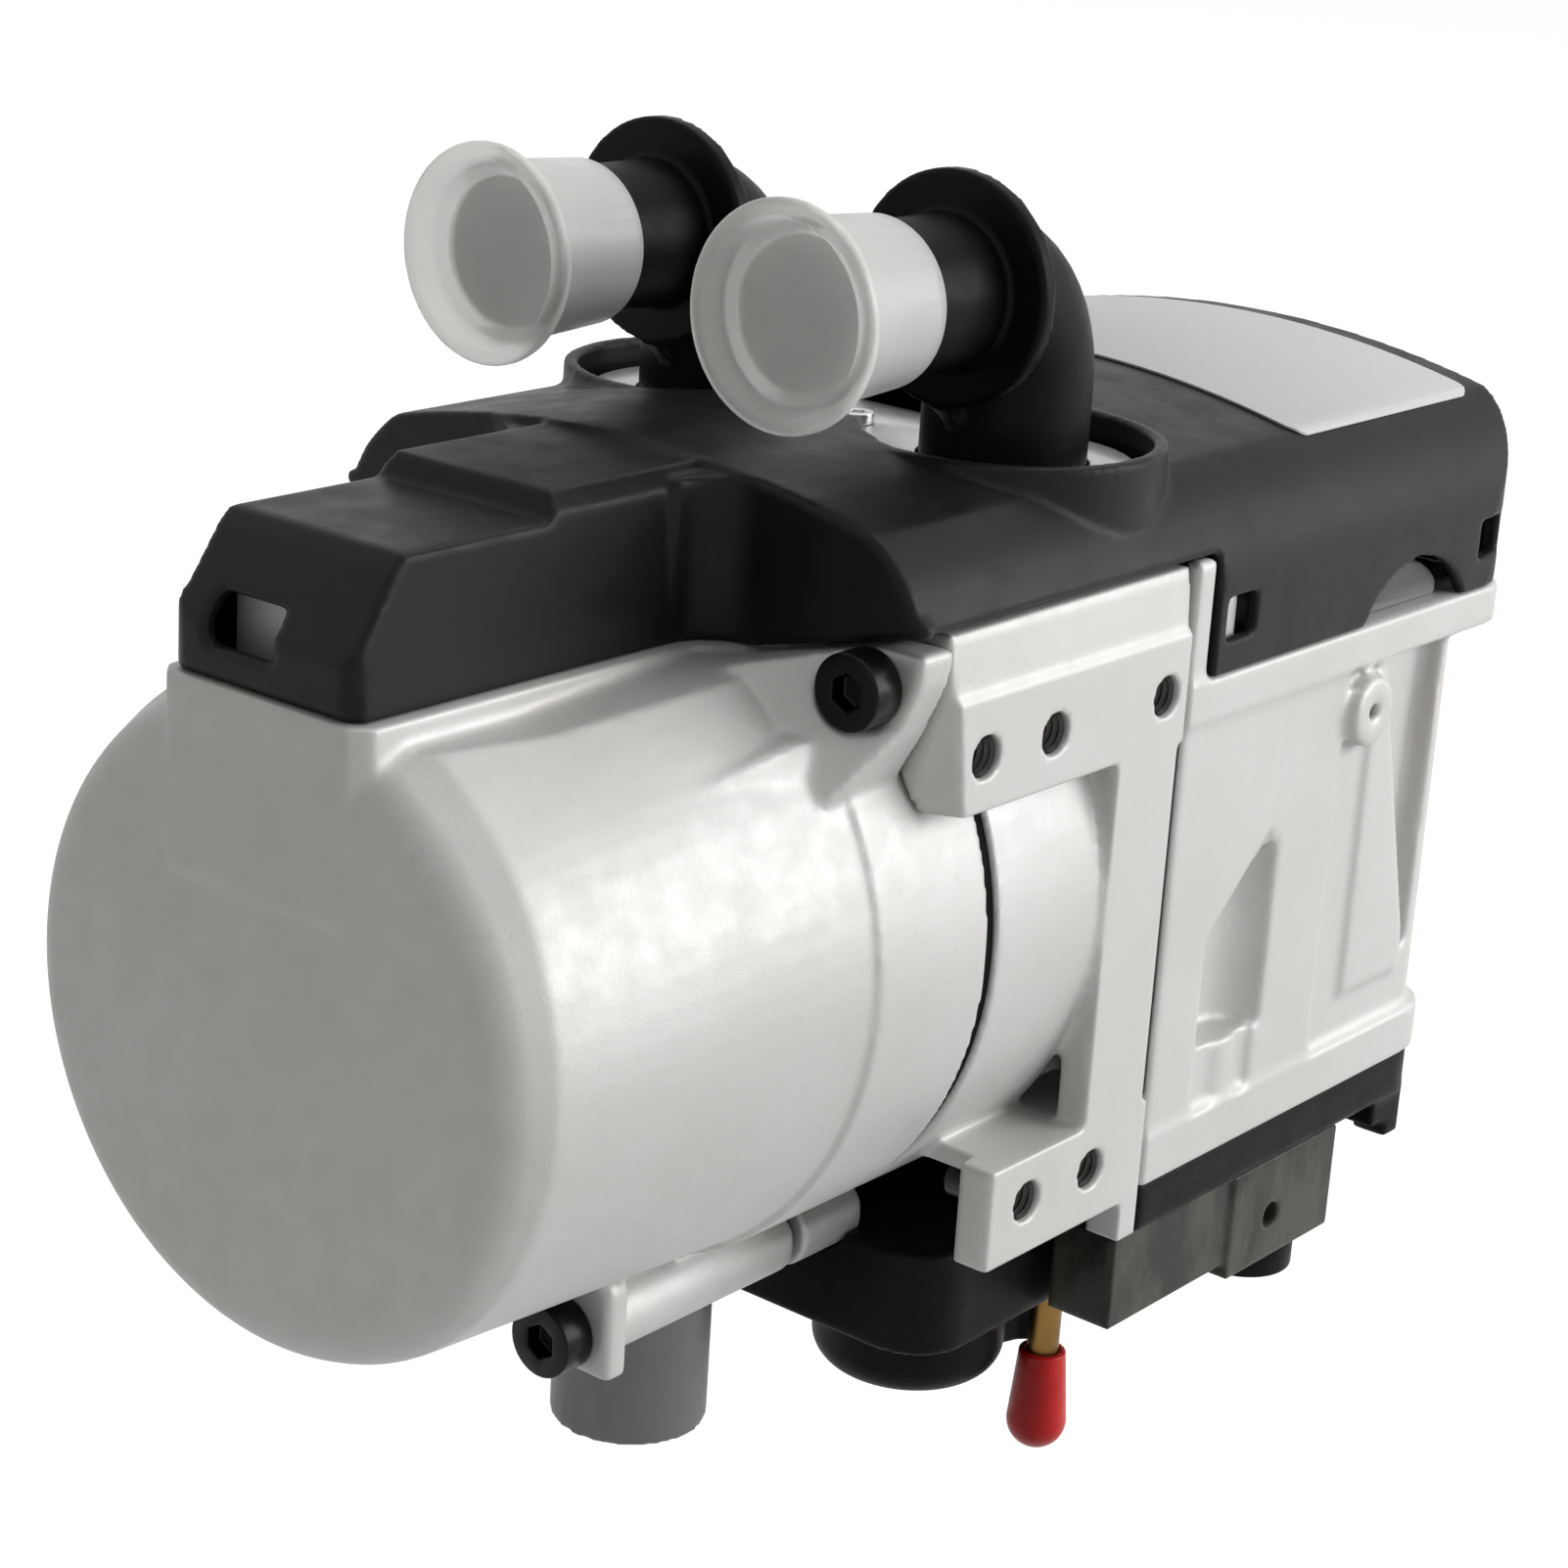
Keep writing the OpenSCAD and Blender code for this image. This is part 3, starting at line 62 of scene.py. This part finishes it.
# Camera, solved from the photograph: place, then azimuth, elevation and roll
PHOTO_PX = 1602
FOCAL_PX = 3578.0
SENSOR_MM = 36.0
CAMERA_AT = Vector((-362.46, -239.01, 132.13)) * MM
CAMERA_TURN = [math.radians(a) for a in (-51.61, 18.23, 3.60)]
CAMERA_NEAR = 0.01

WHITE = (1, 1, 1, 1)
# Level and colour of the world's light on the object
WORLD_LIGHT = 0.16
WORLD_TINT = (1.0, 0.955, 0.86, 1)
# Name, place, target, size and power of each lamp, in metres and watts
LAMPS = [
    ("right_box", (0.95, -1.35, 0.50), (0.03, 0.05, -0.02), (1.3, 1.0), 25),
    ("top_box", (0.45, -0.1, 1.4), (0.03, 0.05, 0.0), (1.3, 1.1), 6),
]
# Rays that see the world and the floor as a white ground
SHOWN_RAYS = ("Is Camera Ray", "Is Glossy Ray", "Is Transmission Ray")
# The floor's own grey, which takes the shadow, and its glow on those rays
FLOOR_ALBEDO = 0.45
FLOOR_GLOW = 0.9
FLOOR_REACH = 4.0
# The red cap pulls down by 20 mm, and the floor lies below its lowest place.
FLOOR_DROP = 22 * MM

# Threaded holes of the mounting pad, in the seal frame's millimetres
PAD_FACE_Y = -50.0
PAD_HOLES = [(-5.9, 28.5), (9.1, 28.5), (34.6, 28.5), (11.8, -38.1), (26.8, -38.1)]
PAD_HOLE_R = 2.9
PAD_HOLE_DEPTH = 11.8
THREAD_PITCH = 1.0
THREAD_HEIGHT = 0.5
# Share of the height that is left as a skin behind the grooves
THREAD_SKIN = 0.1
# How far inside the pad's face the threads start
THREAD_IN = 0.9
ROUND_STEPS = 40
# Black strip in the gap between the pad's bar and the blower housing, painted shade that darkens
# the gap: low and high corner, and its broken edge
GAP_STRIP_CORNERS = ((38.85, -49.2, -31.2), (40.15, -46.0, 21.2))
GAP_STRIP_EDGE = 0.3

# Distances at which a CAD mesh's double points join and its slivers go
WELD = 0.002 * MM
SLIVER = 0.001 * MM
# Cast and moulded nodes: voxel in millimetres, smoothing rounds, and the share of faces kept
SOFT_FORMS = {
    "water_jacket": (0.6, 6, 0.4), "burner_head": (0.6, 4, 0.22),
    "blower_housing": (0.7, 4, 0.22), "hood": (0.6, 4, 0.22), "base_cover": (0.7, 3, 0.25),
    "elbow_front": (0.45, 3, 0.3), "elbow_rear": (0.45, 3, 0.3), "exhaust_stub": (0.5, 3, 0.4),
    "air_intake": (0.6, 4, 0.4), "connector_block": (0.5, 3, 0.3),
}
# Of these, the ones that are round almost all over, where no flat needs its shading kept even
ROUND_FORMS = {"water_jacket", "elbow_front", "elbow_rear", "exhaust_stub", "air_intake"}
# How strongly the large flats of the others set the shading along their edges
FLAT_WEIGHT = 50
SMOOTH_FACTOR = 0.5
# Nodes whose look differs from the rest of their slot. The exhaust stub takes a darker copy of
# the casting, as painted shade.
OWN_LOOKS = {"exhaust_stub": "shade_darkened_casting"}
# Turned and cut nodes: width of their broken edges in millimetres
EDGED_FORMS = {
    "cap_front": 0.35, "cap_rear": 0.35, "jacket_screws": 0.35, "retaining_screws": 0.2,
    "retaining_plate": 0.3, "jacket_seal": 0.2, "fuel_nipple": 0.2, "fuel_cap": 0.3,
    "label_plate": 0.1, "harness_grommet": 0.6, "round_socket": 0.4,
}
EDGE_SEGMENTS = 3
# In degrees: faces this even are one flat, edges over these are broken, or stay sharp in shading
FLAT_ANGLE = 0.5
BROKEN_ANGLE = 32
SHARP_ANGLE = 40
TRIM_SHARP_ANGLE = 30

# The span in which most of a noise's values lie, and a whole share
NOISE_SPAN = (0.3, 0.7)
WHOLE = (0.0, 1.0)
# Sockets of a Mix node set to colours
MIX_SHARE, MIX_FIRST, MIX_SECOND, MIX_RESULT = 0, 6, 7, 2


def at(x, y, z):
    """A place in the seal frame, in millimetres, as a point of the part's own frame."""
    return SEAL + Vector((x, y, z)) * MM


def linked(name, data):
    """A new object of the scene that holds the data."""
    made = bpy.data.objects.new(name, data)
    bpy.context.scene.collection.objects.link(made)
    return made


def make_camera():
    """The photograph's camera. Its roll turns the picture's axes about the view line."""
    azimuth, elevation, roll = CAMERA_TURN
    flat = math.cos(elevation)
    back = Vector((math.sin(azimuth) * flat, -math.cos(azimuth) * flat, math.sin(elevation)))
    level = Vector((math.cos(azimuth), math.sin(azimuth), 0))
    upright = back.cross(level)
    right = level * math.cos(roll) + upright * math.sin(roll)
    up = upright * math.cos(roll) - level * math.sin(roll)
    data = bpy.data.cameras.new("photo_camera")
    data.sensor_width = SENSOR_MM
    data.lens = SENSOR_MM * FOCAL_PX / PHOTO_PX
    data.clip_start = CAMERA_NEAR
    camera = linked("photo_camera", data)
    turn = Matrix((right, up, back)).transposed()
    camera.matrix_world = Matrix.Translation(CAMERA_AT) @ turn.to_4x4()
    bpy.context.scene.camera = camera


class Nodes:
    """The node tree of a material or world, with short ways to add and feed its nodes."""

    def __init__(self, owner):
        owner.use_nodes = True
        self.tree = owner.node_tree

    def put(self, node, sockets):
        """Sets or links sockets, given by name, with _ for a space, or by number."""
        for key, value in sockets.items():
            socket = node.inputs[key.replace("_", " ") if isinstance(key, str) else key]
            if isinstance(value, bpy.types.NodeSocket):
                self.tree.links.new(value, socket)
            else:
                socket.default_value = value

    def node(self, kind, sockets, **settings):
        """A new node of the kind, with its sockets fed and its settings made."""
        made = self.tree.nodes.new("ShaderNode" + kind)
        for key, value in settings.items():
            setattr(made, key, value)
        self.put(made, sockets)
        return made

    def math(self, how, first, second):
        return self.node("Math", {0: first, 1: second}, operation=how).outputs[0]

    def ramp(self, value, source, target):
        """value, carried from the range source to the range target, and held there."""
        sockets = {"Value": value, "From_Min": source[0], "From_Max": source[1],
                   "To_Min": target[0], "To_Max": target[1]}
        return self.node("MapRange", sockets).outputs["Result"]

    def mix(self, share, first, second):
        """The colour that lies this share of the way from first to second."""
        sockets = {MIX_SHARE: share, MIX_FIRST: first, MIX_SECOND: second}
        return self.node("Mix", sockets, data_type="RGBA").outputs[MIX_RESULT]

    def shown(self):
        """1 on the rays that see a white ground, and 0 on those that carry light."""
        path = self.node("LightPath", {})
        seen = path.outputs[SHOWN_RAYS[0]]
        for name in SHOWN_RAYS[1:]:
            seen = self.math("MAXIMUM", seen, path.outputs[name])
        return seen


class Paint(Nodes):
    """One material: a Principled shader and what feeds it."""

    def __init__(self, name, **sockets):
        self.material = bpy.data.materials.new(name)
        super().__init__(self.material)
        self.shader = self.tree.nodes["Principled BSDF"]
        self.feed(**sockets)
        self.place = self.tree.nodes.new("ShaderNodeTexCoord").outputs["Object"]

    def feed(self, **sockets):
        """Sets or links sockets of the shader itself."""
        self.put(self.shader, sockets)

    def noise(self, scale, detail=3.0, roughness=0.55, stretch=None):
        """A noise fixed to the object, finer along the axes that stretch scales up."""
        place = self.place
        if stretch:
            place = self.node("Mapping", {"Vector": place, "Scale": stretch}).outputs[0]
        sockets = {"Vector": place, "Scale": scale, "Detail": detail, "Roughness": roughness}
        return self.node("TexNoise", sockets).outputs[0]

    def edges(self, low, high):
        """From 0 at low to 1 at high, by the bend: over 0.5 on outer edges, less in corners."""
        bend = self.node("NewGeometry", {}).outputs["Pointiness"]
        return self.ramp(bend, (low, high), WHOLE)

    def bump(self, layers):
        """Chains bumps: (height, strength, distance) from the coarse one to the fine one."""
        normal = None
        for height, strength, distance in layers:
            sockets = {"Height": height, "Strength": strength, "Distance": distance}
            if normal:
                sockets["Normal"] = normal
            normal = self.node("Bump", sockets).outputs[0]
        self.feed(Normal=normal)


def grey(value, warm=0.0):
    """A grey of this linear value, with this share more red and less blue."""
    return (value * (1 + warm), value, value * (1 - warm), 1.0)


def darker(colour, share):
    return tuple(c * share for c in colour[:3]) + (1,)


def casting(name, tone, metallic, roughness):
    """Shot-blasted cast aluminium: fine grain, soft clouds, brighter edges, and painted shade
    that darkens the corners.
    """
    paint = Paint(name, Metallic=metallic)
    clouds = paint.ramp(paint.noise(38, 4), NOISE_SPAN, WHOLE)
    base = paint.mix(clouds, grey(tone * 0.95, 0.02), grey(tone * 1.03, 0.012))
    speck = paint.ramp(paint.noise(900, 2, 0.7), (0.62, 0.78), (0.0, 0.35))
    base = paint.mix(speck, base, grey(tone * 0.78, 0.02))
    base = paint.mix(paint.edges(0.52, 0.62), base, grey(min(1.0, tone * 1.07), 0.012))
    # Painted shade: concave corners darkened, in place of the shade that falls there
    base = paint.mix(paint.edges(0.48, 0.40), base, grey(tone * 0.62, 0.03))
    rough = paint.ramp(paint.noise(240, 3), NOISE_SPAN, (roughness - 0.05, roughness + 0.05))
    paint.feed(Base_Color=base, Roughness=rough)
    paint.bump([(paint.noise(150, 3), 0.10, 0.0006), (paint.noise(1900, 2, 0.6), 0.22, 0.00012)])
    return paint.material


def moulding(name, tone, roughness, gloss, grain=0.16, dust=0.0):
    """Moulded plastic with a fine eroded grain, a little haze, and dust where asked for."""
    paint = Paint(name, Specular_IOR_Level=gloss)
    haze = paint.ramp(paint.noise(55, 4), (0.35, 0.7), WHOLE)
    base = paint.mix(haze, grey(tone), grey(tone * 1.35))
    base = paint.mix(paint.edges(0.53, 0.66), base, grey(tone * 2.4 + 0.01))
    if dust:
        grit = paint.ramp(paint.noise(420, 5, 0.72), (0.52, 0.74), (0.0, dust))
        base = paint.mix(grit, base, grey(0.22, 0.06))
    rough = paint.ramp(paint.noise(170, 4), NOISE_SPAN, (roughness - 0.05, roughness + 0.07))
    paint.feed(Base_Color=base, Roughness=rough)
    paint.bump([(paint.noise(90, 2), 0.05, 0.0005), (paint.noise(2600, 2, 0.6), grain, 0.00008)])
    return paint.material


def smoky(name):
    """Dark glossy plastic with cloudy lighter patches, as if looked into, and a little dust."""
    paint = Paint(name, Specular_IOR_Level=0.2)
    clouds = paint.ramp(paint.noise(110, 4, 0.6, (1, 1, 0.4)), (0.42, 0.62), WHOLE)
    base = paint.mix(clouds, (0.008, 0.0085, 0.007, 1), (0.075, 0.077, 0.064, 1))
    grit = paint.ramp(paint.noise(900, 3, 0.7), (0.66, 0.78), (0.0, 0.5))
    base = paint.mix(grit, base, grey(0.20, 0.06))
    rough = paint.ramp(clouds, WHOLE, (0.34, 0.5))
    paint.feed(Base_Color=base, Roughness=rough)
    paint.bump([(paint.noise(110, 2), 0.06, 0.0004), (paint.noise(1800, 2), 0.08, 0.0001)])
    return paint.material


def frosted(name):
    """Natural polyethylene: cloudy, waxy and letting light through."""
    paint = Paint(name, IOR=1.12, Transmission_Weight=0.6, Coat_Weight=0.6, Coat_Roughness=0.35)
    milk = paint.ramp(paint.noise(120, 3), NOISE_SPAN, WHOLE)
    base = paint.mix(milk, (0.90, 0.90, 0.89, 1), (0.96, 0.96, 0.95, 1))
    rough = paint.ramp(paint.noise(300, 3), NOISE_SPAN, (0.44, 0.54))
    paint.feed(Base_Color=base, Roughness=rough)
    paint.bump([(paint.noise(420, 3), 0.12, 0.0003)])
    return paint.material


def circuit(name):
    """Green lacquered board with faint tracks under the lacquer."""
    paint = Paint(name, Roughness=0.35)
    tracks = paint.ramp(paint.noise(300, 1, 0.4, (1, 6, 1)), (0.48, 0.52), WHOLE)
    base = paint.mix(tracks, (0.010, 0.060, 0.025, 1), (0.016, 0.095, 0.040, 1))
    paint.feed(Base_Color=base)
    paint.bump([(tracks, 0.2, 0.00005)])
    return paint.material


def sheet(name):
    """A bare pale sheet of coated paper."""
    paint = Paint(name)
    fibre = paint.ramp(paint.noise(1400, 3), NOISE_SPAN, WHOLE)
    base = paint.mix(fibre, grey(0.68), grey(0.73))
    paint.feed(Base_Color=base, Roughness=paint.ramp(fibre, WHOLE, (0.42, 0.5)))
    paint.bump([(paint.noise(700, 2), 0.08, 0.0001)])
    return paint.material


def metal(name, colour, roughness, stretch=(1, 1, 1), wear=0.3):
    """Bare or turned metal, with stains, and lines across the axis that stretch scales up."""
    paint = Paint(name, Metallic=1.0)
    lines = paint.noise(1500, 3, 0.6, stretch)
    base = paint.mix(paint.ramp(lines, NOISE_SPAN, WHOLE), darker(colour, 0.72), colour)
    stain = paint.ramp(paint.noise(160, 4), (0.5, 0.75), (0.0, wear))
    base = paint.mix(stain, base, darker(colour, 0.45))
    rough = paint.ramp(lines, NOISE_SPAN, (roughness - 0.06, roughness + 0.08))
    paint.feed(Base_Color=base, Roughness=rough)
    paint.bump([(lines, 0.12, 0.00006)])
    return paint.material


def soft_red(name):
    """Dipped soft vinyl: deep red, even and a little waxy."""
    paint = Paint(name, Specular_IOR_Level=0.3)
    deep = paint.ramp(paint.noise(180, 3), NOISE_SPAN, WHOLE)
    base = paint.mix(deep, (0.50, 0.007, 0.006, 1), (0.62, 0.012, 0.010, 1))
    rough = paint.ramp(paint.noise(500, 3), NOISE_SPAN, (0.34, 0.46))
    paint.feed(Base_Color=base, Roughness=rough)
    paint.bump([(paint.noise(260, 2), 0.14, 0.0004)])
    return paint.material


def make_castings():
    """For each: name, tone, metallic share and roughness."""
    return {
        "castings": casting("cast_aluminium", 0.60, 0.28, 0.52),
        # Painted shade: a dark copy of the casting for the exhaust stub, in place of the shade
        # under it
        "shade_darkened_casting": casting("shade_darkened_aluminium", 0.14, 0.45, 0.5),
        "exchanger": casting("exchanger_metal", 0.48, 0.6, 0.55),
    }


def make_mouldings():
    """For each: name, tone, roughness and gloss."""
    return {
        "hood_plastic": moulding("hood_black", 0.009, 0.42, 0.15),
        "elbow_plastic": moulding("elbow_black", 0.003, 0.42, 0.08, grain=0.06),
        "base_plastic": moulding("base_black", 0.003, 0.46, 0.08, dust=0.03),
        "grommet_rubber": moulding("grommet_grey", 0.09, 0.6, 0.2),
        "seal_rubber": moulding("seal_black", 0.002, 0.65, 0.05),
        "black_steel": moulding("black_screws", 0.002, 0.30, 0.15, grain=0.03),
        "motor_case": moulding("motor_grey", 0.12, 0.45, 0.5),
        "impeller_plastic": moulding("impeller_pale", 0.70, 0.45, 0.45),
    }


def make_metals():
    """For each: name, colour and roughness."""
    return {
        "cut_threads": metal("cut_threads", (0.05, 0.05, 0.048, 1), 0.35, wear=0.6),
        "steel": metal("plate_steel", (0.66, 0.66, 0.65, 1), 0.36, stretch=(1, 8, 1)),
        "burner_steel": metal("burner_steel", (0.42, 0.38, 0.33, 1), 0.5, wear=0.7),
        "brass": metal("turned_brass", (0.24, 0.14, 0.045, 1), 0.38, (1, 1, 10), wear=0.6),
    }


def make_materials():
    """The look of each material slot, and the looks that only some pieces have."""
    return {
        **make_castings(), **make_mouldings(), **make_metals(),
        "cap_plastic": frosted("frosted_caps"),
        "connector_plastic": smoky("connector_smoke"),
        "label_paper": sheet("pale_label"),
        "board": circuit("board_green"),
        "red_plastic": soft_red("red_vinyl"),
    }


def new_piece(name, mesh, body, slot, replaced=(), look=None):
    """A piece on its body and in its slot, shown in place of the nodes that it replaces."""
    piece = linked(name, mesh)
    mesh.materials.clear()
    mesh.materials.append(materials[look or slot])
    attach(piece, body)
    if replaced:
        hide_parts(*replaced)


def solid_copy(node):
    """A closed copy of a CAD node's mesh."""
    mesh = frame["nodes"][node].data.copy()
    form = bmesh.new()
    form.from_mesh(mesh)
    bmesh.ops.remove_doubles(form, verts=form.verts, dist=WELD)
    bmesh.ops.dissolve_degenerate(form, edges=form.edges, dist=SLIVER)
    form.to_mesh(mesh)
    form.free()
    return mesh


def settle(mesh, steps):
    """The mesh after these modifiers: (kind, settings) each."""
    holder = linked("holder", mesh)
    for kind, settings in steps:
        made = holder.modifiers.new(kind, kind)
        for key, value in settings.items():
            setattr(made, key, value)
    graph = bpy.context.evaluated_depsgraph_get()
    done = bpy.data.meshes.new_from_object(holder.evaluated_get(graph))
    bpy.data.objects.remove(holder)
    return done


def cast_form(node, voxel, rounds, kept_share):
    """The node's form with the soft edges of a casting or moulding, as real geometry."""
    steps = [("REMESH", {"mode": "VOXEL", "voxel_size": voxel * MM, "use_smooth_shade": True}),
             ("SMOOTH", {"factor": SMOOTH_FACTOR, "iterations": rounds}),
             ("DECIMATE", {"ratio": kept_share})]
    if node not in ROUND_FORMS:
        steps.append(("WEIGHTED_NORMAL", {"mode": "FACE_AREA", "weight": FLAT_WEIGHT}))
    return settle(solid_copy(node), steps)


def edged_form(node, width):
    """The node's form with its sharp edges broken, as a lathe or a mould leaves them."""
    mesh = solid_copy(node)
    form = bmesh.new()
    form.from_mesh(mesh)
    bmesh.ops.dissolve_limit(form, angle_limit=math.radians(FLAT_ANGLE), verts=form.verts,
                             edges=form.edges)
    form.to_mesh(mesh)
    form.free()
    bevel = {"width": width * MM, "segments": EDGE_SEGMENTS, "limit_method": "ANGLE",
             "angle_limit": math.radians(BROKEN_ANGLE)}
    return settle(mesh, [("BEVEL", bevel)])


def shade(mesh, angle=None):
    """Smooth shading, with the edges over the angle kept sharp where one is given."""
    mesh.shade_smooth()
    if angle:
        mesh.set_sharp_from_angle(angle=math.radians(angle))
    return mesh


def make_forms():
    """The finished forms of the nodes that show, each on its node's body and in its slot."""
    for node, sizes in SOFT_FORMS.items():
        mesh = shade(cast_form(node, *sizes))
        new_piece(node + "_form", mesh, body_of[node], slot_of[node], [node],
                  OWN_LOOKS.get(node))
    for node, width in EDGED_FORMS.items():
        mesh = shade(edged_form(node, width), SHARP_ANGLE)
        new_piece(node + "_form", mesh, body_of[node], slot_of[node], [node])


def turned(profile):
    """A closed mesh: the profile of (radius, height) pairs, turned round the Z axis."""
    form = bmesh.new()
    verts = [form.verts.new((r, 0, h)) for r, h in profile]
    edges = [form.edges.new(pair) for pair in zip(verts, verts[1:])]
    bmesh.ops.spin(form, geom=verts + edges, cent=(0, 0, 0), axis=(0, 0, 1),
                   angle=2 * math.pi, steps=ROUND_STEPS, use_merge=True)
    bmesh.ops.remove_doubles(form, verts=form.verts, dist=SLIVER)
    bmesh.ops.recalc_face_normals(form, faces=form.faces)
    mesh = bpy.data.meshes.new("turned")
    form.to_mesh(mesh)
    form.free()
    return mesh


def thread_mesh():
    """A threaded sleeve with a closed end, its mouth at the origin and its depth along Z."""
    inner, outer = PAD_HOLE_R - THREAD_HEIGHT, PAD_HOLE_R
    groove = outer - THREAD_HEIGHT * THREAD_SKIN
    end = PAD_HOLE_DEPTH - THREAD_IN
    floor = end - THREAD_HEIGHT
    walls = [(groove, 0.0)]
    for turn in range(int(floor / THREAD_PITCH)):
        walls += [(inner, (turn + 0.5) * THREAD_PITCH), (groove, (turn + 1) * THREAD_PITCH)]
    profile = [(0, floor), (inner, floor)] + walls[::-1] + [(outer, 0), (outer, end), (0, end)]
    return turned([(r * MM, h * MM) for r, h in profile])


def make_threads():
    """The threads that show in the mounting pad's holes."""
    into_pad = Matrix.Rotation(-math.pi / 2, 4, "X")
    for i, (x, z) in enumerate(PAD_HOLES):
        mesh = thread_mesh()
        mesh.transform(Matrix.Translation(at(x, PAD_FACE_Y + THREAD_IN, z)) @ into_pad)
        new_piece("pad_thread_%d" % (i + 1), shade(mesh, TRIM_SHARP_ANGLE), "heater",
                  "castings", look="cut_threads")


def make_gap_strip():
    """The black line between the pad's bar and the blower housing: a strip of painted shade in
    the gap.
    """
    low, high = (at(*corner) for corner in GAP_STRIP_CORNERS)
    form = bmesh.new()
    bmesh.ops.create_cube(form, size=1)
    for vert in form.verts:
        vert.co = Vector([a if c < 0 else b for a, b, c in zip(low, high, vert.co)])
    bmesh.ops.bevel(form, geom=form.edges, offset=GAP_STRIP_EDGE * MM, segments=2,
                    affect="EDGES")
    mesh = bpy.data.meshes.new("gap_strip")
    form.to_mesh(mesh)
    form.free()
    # Painted shade: a black strip that darkens the gap
    new_piece("gap_shade_strip", shade(mesh, TRIM_SHARP_ANGLE), "heater", "seal_rubber")


def make_stage():
    """A plain pale floor that shows white and keeps the object's shadow."""
    floor_z = cad_box[0][2] - FLOOR_DROP
    corners = [(-1, -1), (1, -1), (1, 1), (-1, 1)]
    mesh = bpy.data.meshes.new("floor")
    mesh.from_pydata([(x * FLOOR_REACH, y * FLOOR_REACH, floor_z) for x, y in corners], [],
                     [(0, 1, 2, 3)])
    paint = Paint("floor_white", Roughness=0.9, Specular_IOR_Level=0.0,
                  Base_Color=grey(FLOOR_ALBEDO), Emission_Color=WHITE)
    paint.feed(Emission_Strength=paint.math("MULTIPLY", paint.shown(), FLOOR_GLOW))
    mesh.materials.append(paint.material)
    floor = linked("floor", mesh)


def make_world():
    """White on the rays that see it, and a dim warm light on the object."""
    world = bpy.data.worlds.new("studio")
    bpy.context.scene.world = world
    nodes = Nodes(world)
    seen = nodes.shown()
    nodes.put(nodes.tree.nodes["Background"], {
        "Color": nodes.mix(seen, WORLD_TINT, WHITE),
        "Strength": nodes.ramp(seen, WHOLE, (WORLD_LIGHT, 1.0))})


def make_lamp(name, place, target, size, power):
    """A soft box that faces its target."""
    data = bpy.data.lights.new(name, "AREA")
    data.shape = "RECTANGLE"
    data.size, data.size_y = size
    data.energy = power
    lamp = linked(name, data)
    lamp.location = place
    lamp.rotation_euler = (Vector(target) - Vector(place)).to_track_quat("-Z", "Y").to_euler()


def dress_solids():
    """Every CAD node takes its look. The ones that no piece replaces show their own mesh."""
    for node, solid in frame["nodes"].items():
        solid.data.materials.clear()
        solid.data.materials.append(materials[OWN_LOOKS.get(node, slot_of[node])])


record = frame["record"]
body_of = {n: b for b, ns in record["behaviour"]["bodies"].items() for n in ns}
slot_of = {p["node"]: p["material_slot"] for p in record["subparts"]}

make_camera()
make_world()
for lamp in LAMPS:
    make_lamp(*lamp)
make_stage()
materials = make_materials()
make_forms()
make_threads()
make_gap_strip()
dress_solids()

bpy.context.scene.view_settings.view_transform = "Standard"
